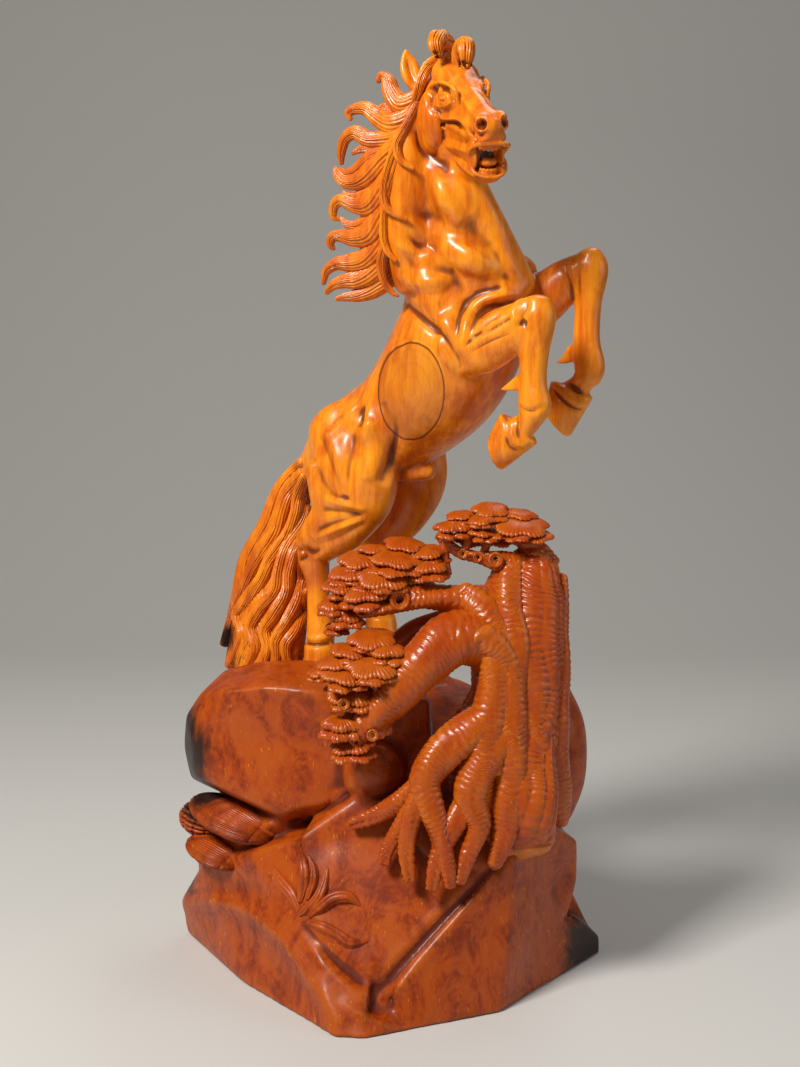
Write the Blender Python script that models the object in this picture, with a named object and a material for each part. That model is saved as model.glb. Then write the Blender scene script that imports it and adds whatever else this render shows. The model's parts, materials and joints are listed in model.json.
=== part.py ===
"""A carved hardwood statue: a horse rears on a boulder behind an old pine, all cut from one log.

Places and sizes are written in millimetres of a statue 900 mm tall, so they are shares of HEIGHT.
X runs to the right of the front view, Y away from the viewer and Z up. The horse heads to the
right and a little forward. Each form is a profile carried along a path, or a hull of a few corners,
and the forms are merged into one body, softened and cut flat below.
"""

import math

import bmesh
import bpy
import numpy as np

HEIGHT = 0.900
MM = HEIGHT / 900

HORSE_YAW = 30.0
HEAD_YAW = 70.0
HEAD_PITCH = 25.0
HEAD_ROLL = 9.0
HEAD_SCALE = 1.1
POLL = (42, -47, 868)

VOXEL = 2.8
THIN = 0.0233
UNDERCUT = 12.0
CENTRE = (-12, 5, 0)

ROSEWOOD = (0.56, 0.20, 0.045, 1.0)


def unit(vector):
    """The vector, or each row of an array of vectors, at length one."""
    vector = np.asarray(vector, float)
    return vector / np.linalg.norm(vector, axis=-1, keepdims=True)


def left_of(yaw):
    """The level direction to the left of a heading that is turned by yaw from +X to the viewer."""
    angle = math.radians(yaw)
    return np.array((math.sin(angle), math.cos(angle), 0.0))


HORSE_LEFT = left_of(HORSE_YAW)
HEAD_LEFT = left_of(HEAD_YAW)


def curve_through(points, per_span):
    """A Catmull-Rom curve through rows of numbers, with per_span steps from each row to the next."""
    rows = np.asarray(points, float)
    rows = np.vstack([2 * rows[0] - rows[1], rows, 2 * rows[-1] - rows[-2]])
    steps = np.linspace(0, 1, per_span, endpoint=False)[:, None]
    spans = []
    for a, b, c, d in zip(rows, rows[1:], rows[2:], rows[3:]):
        bend = 2 * a - 5 * b + 4 * c - d
        twist = 3 * b - a - 3 * c + d
        spans.append(b + 0.5 * steps * (c - a + steps * (bend + steps * twist)))
    return np.vstack([*spans, rows[-2:-1]])


def skin(rings):
    """A closed mesh over rings of points: quads between the rings, and a fan over each end."""
    count, sides = rings.shape[:2]
    first, last = rings[0].mean(axis=0), rings[-1].mean(axis=0)
    points = np.vstack([rings.reshape(-1, 3), first, last])
    faces = []
    for ring in range(count - 1):
        for side in range(sides):
            a, b = ring * sides + side, ring * sides + (side + 1) % sides
            faces.append((a, b, b + sides, a + sides))
    end = (count - 1) * sides
    for side in range(sides):
        after = (side + 1) % sides
        faces.append((after, side, count * sides))
        faces.append((end + side, end + after, count * sides + 1))
    return points, faces


def loft(stations, side=HORSE_LEFT, end_side=None, sides=20, per_span=3, cap=0.6):
    """A rounded body along a path. A station is x, y, z, half width along side, half depth across it."""
    path = curve_through(stations, per_span)
    centre, width, depth = path[:, :3], path[:, 3:4], path[:, 4:5]
    tangent = unit(np.gradient(centre, axis=0))
    blend = np.linspace(0, 1, len(path))[:, None]
    across = np.asarray(side) * (1 - blend) + np.asarray(side if end_side is None else end_side) * blend
    across = unit(across - (across * tangent).sum(axis=1, keepdims=True) * tangent)
    up = np.cross(tangent, across)
    ends = []
    for index, sign in ((0, -1), (-1, 1)):
        reach = cap * min(width[index, 0], depth[index, 0])
        for share in (0.45, 0.8, 0.97):
            shrink = math.sqrt(1 - share * share)
            ends.append((index, centre[index] + sign * share * reach * tangent[index], shrink))
    start, finish = ends[:3][::-1], ends[3:]
    centre = np.vstack([[e[1] for e in start], centre, [e[1] for e in finish]])
    width = np.vstack([[width[0] * e[2] for e in start], width, [width[-1] * e[2] for e in finish]])
    depth = np.vstack([[depth[0] * e[2] for e in start], depth, [depth[-1] * e[2] for e in finish]])
    across = np.vstack([across[:1]] * 3 + [across] + [across[-1:]] * 3)
    up = np.vstack([up[:1]] * 3 + [up] + [up[-1:]] * 3)
    angle = np.linspace(0, 2 * math.pi, sides, endpoint=False)
    rings = (
        centre[:, None]
        + (width[:, None] * np.cos(angle)[None, :, None]) * across[:, None]
        + (depth[:, None] * np.sin(angle)[None, :, None]) * up[:, None]
    )
    return skin(rings)


def hull(corners):
    """The convex hull of a few corners, as a rock's facets."""
    mesh = bmesh.new()
    for corner in corners:
        mesh.verts.new(corner)
    made = bmesh.ops.convex_hull(mesh, input=mesh.verts)
    inside = list({*made["geom_interior"], *made["geom_unused"]})
    bmesh.ops.delete(mesh, geom=inside, context="VERTS")
    mesh.verts.index_update()
    points = np.array([vert.co for vert in mesh.verts])
    faces = [tuple(vert.index for vert in face.verts) for face in mesh.faces]
    mesh.free()
    return points, faces


def ball(centre, radii, side=HORSE_LEFT, forward=None):
    """An ellipsoid: radii along forward, along side and across both."""
    side = unit(side)
    forward = unit(np.cross(side, (0, 0, 1)) if forward is None else forward)
    centre = np.asarray(centre, float)
    near, far = centre - forward * radii[0] * 0.5, centre + forward * radii[0] * 0.5
    wide, deep = radii[1], radii[2]
    ring = 0.87
    stations = [
        (*near, wide * ring, deep * ring),
        (*centre, wide, deep),
        (*far, wide * ring, deep * ring),
    ]
    cap = 0.5 * radii[0] / (ring * min(wide, deep))
    return loft(stations, side=side, cap=cap)


def hoof(heel, front, toe, sole, half_width, side=HORSE_LEFT):
    """A hoof: an oval coronet from heel to front, and an oval sole from sole to toe."""
    heel, front, toe, sole = (np.asarray(p, float) for p in (heel, front, toe, sole))
    angle = np.linspace(0, 2 * math.pi, 16, endpoint=False)[:, None]
    rings = []
    for back, fore, wide in ((heel, front, 0.9), (sole, toe, 1.0)):
        middle, reach = (back + fore) / 2, (fore - back) / 2
        rings.append(middle + reach * np.cos(angle) + wide * half_width * np.asarray(side) * np.sin(angle))
    return hull(np.vstack(rings))


def trunk_and_neck():
    """The barrel from rump to breast, and the neck that rises from it and turns to the viewer."""
    barrel = [
        (-82, 80, 490, 30, 24),
        (-56, 64, 508, 48, 42),
        (-30, 50, 522, 54, 50),
        (4, 28, 546, 55, 53),
        (38, 8, 584, 59, 62),
        (58, -4, 624, 56, 64),
        (65, -9, 659, 50, 60),
        (76, -16, 692, 40, 48),
    ]
    neck = [
        (66, -10, 668, 46, 68),
        (54, -20, 715, 37, 58),
        (45, -29, 755, 29, 48),
        (38, -37, 791, 24, 38),
        (34, -44, 826, 19, 28),
        (34, -47, 846, 16, 20),
    ]
    far_shoulder = [(102, 10, 655, 20, 28), (110, 4, 680, 20, 24), (116, 0, 693, 15, 17)]
    sheath = [(18, 22, 502, 12, 14), (30, 20, 488, 9, 9)]
    return [loft(barrel), loft(neck, end_side=HEAD_LEFT), loft(far_shoulder), loft(sheath)]


def head_place(points):
    """Head places (forward from the poll, left, up) turned and moved to the statue."""
    left = HEAD_LEFT
    pitch, roll = math.radians(HEAD_PITCH), math.radians(HEAD_ROLL)
    level = np.array((left[1], -left[0], 0.0))
    forward = level * math.cos(pitch) - np.array((0, 0, math.sin(pitch)))
    up = np.cross(forward, left)
    left, up = left * math.cos(roll) + up * math.sin(roll), up * math.cos(roll) - left * math.sin(roll)
    return HEAD_SCALE * np.asarray(points, float) @ np.array([forward, left, up]) + POLL


def head():
    """Skull, cheeks and open jaws, laid out along the head's own axis."""
    across, ahead = (0, 1, 0), (1, 0, 0)
    skull = [
        (-10, 0, -22, 16, 17), (8, 0, -20, 20, 19), (28, 0, -19, 21, 19), (46, 0, -18, 18, 18),
        (64, 0, -17, 14, 16), (86, 0, -17, 12, 14), (104, 0, -17, 13, 12), (113, 0, -17, 11, 9),
    ]
    cheeks = [
        (10, 0, -44, 13, 20), (40, 0, -44, 13, 19), (64, 0, -43, 12.5, 17), (84, 0, -43, 12, 14),
        (95, 0, -43, 11, 11),
    ]
    jaw = [
        (20, 0, -57, 12, 9), (50, 0, -58, 12, 8), (78, 0, -57, 12, 7), (96, 0, -56, 13, 6),
        (108, 0, -54, 11, 5),
    ]
    forms = [loft(skull, side=across), loft(cheeks, side=across), loft(jaw, side=across)]
    forms.append(ball((110, 2, -24), (11, 14, 6), side=across, forward=ahead))
    for sign in (-1, 1):
        forms.append(ball((19, 14 * sign, -41), (25, 9, 27), side=across, forward=ahead))
        forms.append(ball((44, 15 * sign, -11), (14, 9, 11), side=across, forward=ahead))
        forms.append(ball((106, 9 * sign, -13), (9, 6, 8), side=across, forward=ahead))
    return [(head_place(points), faces) for points, faces in forms]


def ears():
    """Two pricked ears, leaning outwards."""
    right = [(17, -46, 852, 7, 6), (10, -44, 864, 8, 5), (7, -44, 874, 6, 3), (5, -44, 883, 2, 2)]
    left = [(51, -42, 852, 6, 6), (57, -38, 865, 7, 5), (60, -38, 876, 5, 3), (61, -38, 885, 2, 2)]
    return [loft(right, side=(1, 0.2, 0)), loft(left, side=(1, -0.2, 0))]


def forelegs():
    """Both forelegs folded at the knee, the right one nearer the viewer."""
    right = [
        loft([
            (50, -44, 622, 22, 36), (74, -62, 616, 19, 28), (100, -76, 630, 17, 23),
            (124, -86, 645, 15, 17),
        ]),
        loft([
            (124, -86, 654, 13, 14), (124, -87, 640, 16, 18), (122, -87, 610, 12.5, 14),
            (121, -87, 582, 12, 13), (123, -88, 562, 14, 16), (123, -88, 552, 12, 12),
        ]),
        loft([(123, -88, 557, 13, 13), (117, -84, 545, 11, 11), (110, -79, 540, 12, 13)]),
        hoof((94, -66, 555), (126, -86, 527), (94, -68, 500), (84, -62, 532), 16),
        loft([(112, -80, 583, 4, 9), (98, -72, 577, 2.5, 4), (92, -69, 576, 1, 1.5)], cap=0.5),
    ]
    left = [
        loft([
            (92, 16, 640, 22, 36), (130, -6, 655, 20, 26), (156, -19, 676, 17, 21), (178, -30, 690, 14, 15),
        ]),
        loft([
            (178, -30, 700, 12, 12), (180, -30, 686, 15, 16), (177, -31, 655, 12, 13),
            (176, -32, 620, 12, 13), (179, -34, 596, 13, 15), (178, -34, 584, 12, 12),
        ]),
        loft([(178, -34, 588, 12, 12), (170, -29, 578, 11, 11), (163, -25, 571, 12, 13)]),
        hoof((145, -14, 583), (182, -38, 567), (161, -26, 528), (140, -12, 557), 16),
        loft([(166, -26, 610, 4, 10), (156, -20, 602, 2.5, 5), (148, -16, 599, 1, 1.5)], cap=0.5),
    ]
    return right + left


def hind_legs():
    """Both hind legs, bent at the hock and standing on the rock."""
    right = [
        loft([
            (-62, 42, 540, 26, 34), (-48, 22, 505, 31, 44), (-42, 12, 475, 27, 42), (-56, 18, 440, 19, 28),
            (-76, 30, 418, 14, 18), (-88, 36, 410, 12, 15),
        ]),
        loft([
            (-90, 38, 420, 11, 14), (-87, 38, 404, 13, 17), (-83, 38, 380, 11, 13), (-82, 36, 350, 11, 12),
            (-80, 33, 330, 13, 15), (-79, 31, 316, 12, 13),
        ]),
        hoof((-95, 40, 318), (-66, 22, 316), (-62, 18, 284), (-96, 38, 284), 17),
    ]
    left = [
        loft([
            (-18, 100, 545, 26, 38), (4, 84, 508, 29, 44), (12, 76, 478, 25, 38), (2, 80, 442, 18, 26),
            (-18, 90, 416, 14, 17), (-30, 95, 408, 12, 15),
        ]),
        loft([
            (-31, 95, 416, 11, 14), (-29, 94, 400, 13, 16), (-26, 92, 373, 11, 12), (-20, 89, 350, 13, 15),
            (-19, 88, 338, 12, 13),
        ]),
        hoof((-34, 94, 336), (-6, 78, 336), (-2, 74, 306), (-36, 94, 306), 17),
    ]
    return right + left


def tail():
    """The heavy tail, falling from the dock to the boulder."""
    fall = [
        (-88, 82, 497, 12, 13), (-103, 88, 473, 16, 17), (-117, 92, 438, 21, 24),
        (-124, 90, 403, 25, 32), (-130, 82, 364, 28, 38), (-134, 72, 329, 29, 43),
        (-136, 64, 299, 29, 42), (-136, 58, 274, 28, 36),
    ]
    tips = [
        [(-144, 96, 351, 9, 13), (-169, 104, 326, 8, 10), (-183, 108, 306, 7, 8)],
        [(-143, 78, 323, 9, 13), (-160, 70, 301, 9, 10), (-171, 66, 291, 6, 6)],
    ]
    return [loft(fall), *(loft(tip) for tip in tips)]


def mane():
    """Locks that stream back from the crest, and the forelock in two curls."""
    crest = [
        (24, -40, 847, 12, 12), (13, -38, 822, 15, 13), (6, -32, 791, 17, 15), (1, -25, 755, 19, 17),
        (-1, -16, 715, 19, 17), (-1, -8, 676, 14, 12),
    ]
    locks = [
        [
            (22, -50, 853, 5, 5), (15, -48, 841, 8, 8), (2, -42, 836, 10, 10), (-7, -37, 846, 9, 9),
            (-11, -35, 858, 7, 7), (-17, -34, 863, 4, 4), (-20, -34, 858, 2.5, 2.5),
        ],
        [
            (16, -50, 839, 6, 6), (9, -46, 825, 9, 9), (-6, -39, 819, 11, 11), (-19, -32, 825, 9, 9),
            (-30, -27, 834, 7.5, 7), (-40, -23, 835, 6, 5.5), (-48, -22, 831, 4, 4),
            (-46, -24, 825, 2, 2),
        ],
        [
            (15, -50, 828, 6, 6), (4, -44, 811, 9, 9), (-11, -35, 806, 9, 9), (-28, -29, 806, 8, 8),
            (-41, -24, 813, 7, 7), (-51, -20, 808, 5.5, 5.5), (-55, -18, 796, 4.5, 4.5),
            (-55, -17, 786, 2.5, 2.5),
        ],
        [
            (13, -50, 819, 6, 6), (1, -44, 802, 10, 10), (-13, -34, 789, 11, 11),
            (-26, -28, 777, 11, 12), (-39, -23, 769, 9, 9), (-51, -19, 769, 7, 7),
            (-58, -17, 775, 5, 5), (-61, -16, 781, 2.5, 2.5),
        ],
        [
            (9, -46, 803, 6, 6), (-2, -40, 782, 10, 10), (-14, -31, 763, 12, 12),
            (-28, -25, 748, 11, 12), (-42, -20, 747, 8, 8), (-55, -16, 752, 6, 6),
            (-62, -13, 747, 5, 5), (-63, -12, 737, 3.5, 3.5), (-57, -13, 734, 2, 2),
        ],
        [
            (6, -42, 781, 6, 6), (-4, -34, 758, 10, 10), (-15, -26, 738, 12, 12),
            (-28, -21, 721, 12, 13), (-43, -17, 717, 9, 9), (-55, -13, 719, 6.5, 6.5),
            (-64, -11, 718, 5, 5), (-66, -10, 711, 4, 4), (-63, -10, 707, 2, 2),
        ],
        [
            (2, -34, 755, 6, 6), (-8, -26, 728, 10, 10), (-19, -20, 709, 11, 12),
            (-33, -16, 697, 10, 11), (-47, -12, 694, 8, 9), (-60, -9, 693, 6.5, 6.5),
            (-70, -8, 686, 4.5, 4.5), (-73, -7, 675, 2.5, 2.5),
        ],
        [
            (0, -28, 728, 6, 6), (-9, -20, 703, 9, 9), (-23, -15, 687, 10, 11), (-38, -12, 679, 9, 10),
            (-52, -9, 677, 7.5, 7.5), (-63, -8, 673, 5, 5), (-70, -7, 666, 2.5, 2.5),
        ],
        [
            (0, -20, 705, 6, 6), (-9, -14, 682, 9, 9), (-23, -10, 670, 9, 9), (-38, -8, 664, 7.5, 7),
            (-51, -7, 662, 5, 4.5), (-60, -7, 660, 2.5, 2.5),
        ],
        [
            (16, -58, 834, 5, 4), (6, -57, 815, 6, 4), (-2, -56, 799, 6, 4), (-1, -58, 787, 5, 4),
            (5, -60, 780, 3.5, 3), (12, -62, 776, 2, 2),
        ],
    ]
    forelock = [
        [
            (42, -62, 849, 8, 7), (37, -60, 865, 10, 9), (34, -62, 879, 10.5, 9),
            (35, -68, 888, 10, 9), (36, -77, 889, 9, 8), (37, -83, 881, 8, 7), (37, -82, 875, 5, 5),
        ],
        [
            (48, -74, 845, 7, 7), (51, -74, 859, 9.5, 9), (55, -77, 873, 10, 9), (56, -84, 881, 10, 9),
            (57, -93, 881, 9, 8), (59, -98, 872, 8, 7), (59, -97, 863, 5, 5),
        ],
        [(43, -58, 864, 9, 8), (45, -60, 876, 9, 8), (47, -62, 883, 7, 6), (48, -62, 888, 3, 3)],
        [
            (33, -58, 874, 4, 4), (25, -58, 867, 5, 5), (19, -60, 853, 5.5, 5), (15, -60, 841, 4.5, 4),
            (12, -58, 834, 2.5, 2.5),
        ],
    ]
    return [loft(lock, cap=0.8) for lock in [crest, *locks, *forelock]]


def rocks():
    """The boulder under the horse and the faceted rock that carries everything."""
    boulder = [
        (-188, 22, 224, 56, 46), (-179, 20, 224, 70, 56), (-162, 17, 225, 82, 62), (-134, 13, 226, 92, 67),
        (-96, 10, 222, 100, 72), (-45, 10, 226, 104, 72), (10, 15, 232, 98, 62),
    ]
    depth = -UNDERCUT
    foot = [
        (-225, 66), (-153, -64), (-59, -183), (-31, -185), (-3, -165), (15, -165), (93, -130), (132, -78),
        (204, 12), (192, 110), (100, 185), (-60, 195), (-180, 150),
    ]
    core = [
        (-196, 66, 60), (-150, -20, 60), (-40, -140, 20), (110, -60, 60), (160, 60, 90), (60, 150, 110),
        (-130, 130, 110),
    ]
    base = hull([(x, y, z) for x, y in foot for z in (depth, 4)] + core)
    left = hull([
        (-225, 66, depth), (-153, -64, depth), (-59, -183, depth), (-33, -184, depth), (-230, 62, 38),
        (-188, -5, 63), (-140, -60, 62), (-103, -105, 48), (-80, -135, 31), (-53, -160, 17), (-202, 14, 92),
        (-148, -50, 128), (-94, -84, 152), (-88, -110, 78), (0, -60, 180), (0, 60, 180), (-150, 110, 120),
        (-190, 80, 90), (-40, -150, 6),
    ])
    grass = hull([
        (-94, -92, 158), (-48, -86, 190), (-26, -80, 197), (0, -86, 190), (60, -100, 170), (104, -110, 148),
        (-26, -150, 38), (-20, -148, 30), (-74, -128, 78), (-93, -112, 100), (40, 20, 190), (-60, 40, 180),
    ])
    right = hull([
        (15, -165, depth), (-3, -165, depth), (93, -130, depth), (132, -78, depth), (-8, -160, 30),
        (112, -104, 156), (146, -62, 159), (176, -20, 129), (177, -20, 91), (163, -30, 82),
        (166, -24, 50), (60, -40, 120),
        (110, 60, 150), (150, 60, 130), (-4, -150, 22),
    ])
    middle = hull([
        (-20, -50, 200), (60, -60, 230), (110, -40, 250), (150, 20, 240), (60, 90, 270), (-30, 120, 280),
        (-30, 60, 200), (150, 90, 150), (120, 110, 60), (0, 150, 60),
    ])
    lobe = loft([
        (150, 36, 146, 42, 28), (158, 34, 185, 46, 31), (160, 34, 230, 40, 28), (152, 36, 268, 28, 20),
    ], side=(0, 1, 0))
    ledge = hull([
        (-50, 80, 298), (-20, 58, 300), (14, 66, 298), (30, 96, 292), (10, 128, 284), (-40, 124, 288),
        (-90, 90, 200), (-60, 172, 150), (40, 182, 140), (110, 130, 150), (90, 60, 240), (-90, 150, 40),
        (60, 192, 40), (120, 150, 60), (-40, 60, 200),
    ])
    back_rock = hull([
        (-205, 72, 40), (-192, 112, 50), (-120, 165, 40), (-60, 185, 60), (-188, 66, 172), (-160, 112, 188),
        (-90, 132, 215), (-30, 142, 220), (-40, 60, 150),
    ])
    root_rock = hull([
        (49, -78, 249), (23, -92, 202), (-2, -108, 173), (33, -124, 134), (93, -112, 139),
        (154, -60, 175), (151, -40, 276), (76, -62, 281), (38, -60, 163), (134, -70, 156),
        (101, 20, 242), (122, 20, 127),
    ])
    corner = hull([
        (132, -78, depth), (204, 12, depth), (205, 20, 15), (171, -15, 55), (140, -66, 30), (150, 20, 20),
        (190, 70, 10), (190, 70, depth),
    ])
    log_end = ball((-26, -70, 214), (26, 30, 30), side=(1, 0, 0), forward=(0, 1, 0))
    pads = [
        hull([
            (-214, 30, 156), (-215, 30, 90), (-116, -60, 162), (-145, -40, 131), (-177, 60, 162),
            (-98, -30, 179), (-213, 60, 69), (-88, -40, 147),
        ]),
        hull([
            (-194, -10, 136), (-166, -30, 176), (-133, -55, 175), (-113, -80, 167), (-163, -60, 142),
            (-212, 10, 133), (-190, 20, 168), (-165, 40, 131),
        ]),
        hull([
            (-214, 10, 99), (-195, -25, 104), (-170, -45, 128), (-148, -50, 133), (-158, -20, 130),
            (-191, 0, 125), (-210, 30, 113),
        ]),
    ]
    return [
        loft(boulder, side=(0, 1, 0)), base, left, grass, right, middle, lobe, ledge, back_rock, root_rock,
        corner, log_end, *pads,
    ]


def pine():
    """The old pine in front: trunk, buttress roots, two low branches and the bent top."""
    trunk = [
        (92, -74, 152, 56, 34), (91, -76, 188, 60, 36), (93, -76, 222, 58, 36), (98, -74, 246, 54, 35),
        (105, -72, 264, 48, 34), (110, -69, 285, 44, 33), (111, -67, 316, 45, 33),
        (111, -64, 347, 46, 31), (116, -60, 375, 42, 28), (120, -58, 394, 36, 24),
        (125, -56, 409, 28, 19), (128, -55, 420, 18, 13),
    ]
    upper = [
        (137, -55, 409, 14, 12), (127, -55, 426, 10, 9), (113, -55, 435, 8, 7), (94, -55, 439, 8, 5),
    ]
    lower = [
        (137, -55, 396, 20, 18), (117, -57, 406, 16, 14), (100, -60, 413, 11, 11),
        (89, -62, 416, 9, 9), (73, -60, 419, 6, 5), (59, -58, 422, 5, 5), (47, -56, 429, 5, 5),
        (38, -54, 439, 6, 5),
    ]
    twigs = [
        [(59, -58, 422, 4, 4), (64, -58, 433, 4, 4), (62, -56, 445, 4, 4)],
        [(77, -60, 419, 4, 4), (82, -60, 432, 4, 4), (81, -58, 446, 4, 4)],
        [(47, -56, 428, 4, 4), (44, -56, 437, 4, 4), (47, -56, 447, 4, 4)],
        [(42, -54, 434, 5, 5), (42, -56, 415, 5, 5), (45, -60, 402, 4, 4)],
    ]
    high = [
        (102, -62, 364, 28, 24), (70, -66, 375, 19, 18), (38, -70, 381, 13.5, 12),
        (9, -74, 381, 12, 11), (-14, -74, 375, 10, 9), (-35, -72, 370, 8, 6),
    ]
    low = [
        (102, -72, 332, 32, 34), (71, -84, 346, 27, 27), (43, -94, 343, 25, 25),
        (20, -102, 324, 22.5, 22), (-2, -108, 300, 19, 19), (-24, -112, 278, 15, 15),
        (-44, -115, 258, 10, 10),
    ]
    back = [(-8, -60, 333, 9, 8), (14, -50, 348, 10, 8), (43, -45, 357, 10, 9)]
    roots = [
        [
            (104, -92, 283, 15, 15), (68, -106, 265, 15, 15), (37, -116, 243, 14, 14),
            (23, -122, 221, 12, 12), (27, -128, 198, 10, 10), (37, -134, 171, 8, 8),
            (43, -138, 143, 6, 6), (45, -140, 126, 4, 4),
        ],
        [(26, -122, 215, 9, 9), (12, -126, 192, 8, 8), (6, -130, 159, 6, 6), (8, -136, 131, 4, 4)],
        [(26, -118, 219, 9, 9), (-2, -114, 197, 8, 8), (-23, -108, 183, 6, 6), (-45, -102, 173, 4, 4)],
        [(20, -120, 205, 8, 8), (2, -120, 178, 7, 7), (-11, -122, 156, 5, 5), (-15, -124, 143, 4, 4)],
        [
            (93, -100, 262, 15, 15), (74, -114, 232, 14, 14), (64, -122, 205, 12, 12),
            (71, -126, 178, 9, 9), (61, -132, 150, 6, 6), (54, -136, 129, 4, 4),
        ],
        [
            (107, -100, 233, 14, 14), (100, -112, 199, 13, 13), (96, -116, 169, 9, 9),
            (86, -122, 141, 6, 6),
        ],
        [
            (129, -88, 230, 13, 13), (127, -96, 194, 11, 11), (123, -100, 171, 8, 8),
            (116, -104, 156, 5, 5),
        ],
        [(147, -74, 221, 11, 11), (148, -78, 190, 9, 9), (152, -78, 169, 5, 5)],
        [(63, -120, 201, 9, 9), (46, -130, 176, 8, 8), (34, -136, 149, 6, 6), (28, -140, 124, 4, 4)],
    ]
    across = (0.9, -0.4, 0)
    return [loft(stem, side=across) for stem in [trunk, upper, lower, high, low, back, *twigs, *roots]]


def needle_pads():
    """Cushions of pine needles: flat, overlapping scallops on the branch ends, with a core in each."""
    scallops = [
        (57, -52, 458, 15, 5), (85, -54, 464, 19, 6), (113, -52, 459, 18, 6), (50, -58, 448, 20, 8),
        (76, -66, 455, 14, 6), (112, -62, 451, 30, 7), (77, -66, 443, 15, 6), (117, -52, 441, 16, 6),
        (88, -36, 447, 34, 8), (4, -52, 431, 21, 6), (-24, -54, 426, 18, 6), (24, -56, 424, 22, 7),
        (-38, -58, 417, 22, 7), (-4, -68, 419, 26, 8), (26, -68, 411, 20, 9), (-47, -64, 406, 22, 8),
        (-17, -74, 403, 28, 10), (-56, -70, 392, 20, 8), (-32, -78, 388, 26, 10),
        (-64, -76, 376, 14, 8), (-51, -74, 367, 18, 9), (-58, -72, 355, 12, 7), (-5, -48, 404, 40, 14),
        (-26, -96, 349, 24, 7), (-46, -100, 338, 20, 7), (-13, -106, 339, 20, 9),
        (-60, -106, 328, 18, 7), (-26, -114, 327, 27, 9), (-50, -114, 318, 24, 8),
        (-73, -108, 318, 13, 6), (-33, -88, 330, 32, 12), (-46, -108, 300, 26, 9),
        (-54, -118, 273, 19, 11), (-44, -114, 252, 22, 8), (-31, -104, 276, 24, 16),
    ]
    forms = []
    for x, y, z, wide, thick in scallops:
        forms.append(ball((x, y, z), (wide, wide * 0.85, thick), side=(0, 1, 0), forward=(1, 0, 0)))
    return forms


def placed(name, forms):
    """One mesh object that holds every form, at its real size."""
    points, faces, count = [], [], 0
    for form_points, form_faces in forms:
        points.append((np.asarray(form_points) - CENTRE) * MM)
        faces += [tuple(index + count for index in face) for face in form_faces]
        count += len(form_points)
    mesh = bpy.data.meshes.new(name)
    mesh.from_pydata(np.vstack(points).tolist(), [], faces)
    mesh.validate()
    work = bmesh.new()
    work.from_mesh(mesh)
    bmesh.ops.recalc_face_normals(work, faces=work.faces)
    work.to_mesh(mesh)
    work.free()
    placed_object = bpy.data.objects.new(name, mesh)
    bpy.context.scene.collection.objects.link(placed_object)
    return placed_object


def rock_gullies():
    """Two gullies that part the front rocks: one runs up to the right, one down from the left."""
    right = [
        (-31, -158, 23, 8, 8), (0, -145, 53, 9, 9), (37, -133, 86, 9, 9), (74, -121, 120, 8, 8),
        (104, -109, 148, 6, 6),
    ]
    left = [
        (-93, -116, 81, 7, 7), (-79, -130, 71, 9, 9), (-59, -144, 52, 10, 10), (-35, -157, 29, 10, 10),
        (-11, -173, 7, 9, 9),
    ]
    return [loft(right), loft(left)]


def cutter(name, forms):
    """A hidden object that the statue is cut with."""
    tool = placed(name, forms)
    tool.hide_render = True
    tool.display_type = "WIRE"
    return tool


def floor_block():
    """A block under the floor plane, which cuts the foot flat."""
    reach = (-400, 400)
    return hull([(x, y, z) for x in reach for y in reach for z in (-200, 0)])


def finished(statue):
    """Unites the forms, softens them as a carver's rasp does, thins the facets and cuts the foot."""
    remesh = statue.modifiers.new("unite", "REMESH")
    remesh.mode = "VOXEL"
    remesh.voxel_size = VOXEL * MM
    carve = statue.modifiers.new("carve", "BOOLEAN")
    carve.operation = "DIFFERENCE"
    carve.solver = "MANIFOLD"
    carve.object = cutter("gully_cutter", rock_gullies())
    settle = statue.modifiers.new("settle", "REMESH")
    settle.mode = "VOXEL"
    settle.voxel_size = VOXEL * MM
    soften = statue.modifiers.new("soften", "SMOOTH")
    soften.factor = 0.5
    soften.iterations = 4
    thin = statue.modifiers.new("thin", "DECIMATE")
    thin.ratio = THIN
    flat = statue.modifiers.new("flat_foot", "BOOLEAN")
    flat.operation = "DIFFERENCE"
    flat.solver = "MANIFOLD"
    flat.object = cutter("floor_cutter", [floor_block()])
    return statue


def rosewood():
    """Oiled, polished reddish wood."""
    material = bpy.data.materials.new("rosewood")
    material.use_nodes = True
    shader = material.node_tree.nodes["Principled BSDF"]
    shader.inputs["Base Color"].default_value = ROSEWOOD
    shader.inputs["Roughness"].default_value = 0.35
    shader.inputs["Metallic"].default_value = 0.0
    return material


def main():
    for old in list(bpy.data.objects):
        bpy.data.objects.remove(old)
    forms = [
        *trunk_and_neck(),
        *head(),
        *ears(),
        *forelegs(),
        *hind_legs(),
        *tail(),
        *mane(),
        *rocks(),
        *pine(),
        *needle_pads(),
    ]
    statue = finished(placed("horse_statue", forms))
    statue.data.materials.append(rosewood())


main()
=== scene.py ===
"""A carved hardwood statue of a rearing horse on a boulder, with an old pine in front of it.

The places are millimetres of a statue 900 mm tall, laid out on the same stations as the solid, and
`CENTRE` moves them to the middle of its bounding box. The big forms are lofts and hulls that a voxel
Remesh merges; the carver's strokes then press or lift that skin along its normals. Hair, bark and
needles are surfaces of two parameters, worked out on whole arrays.
"""

import json
import math

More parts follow.
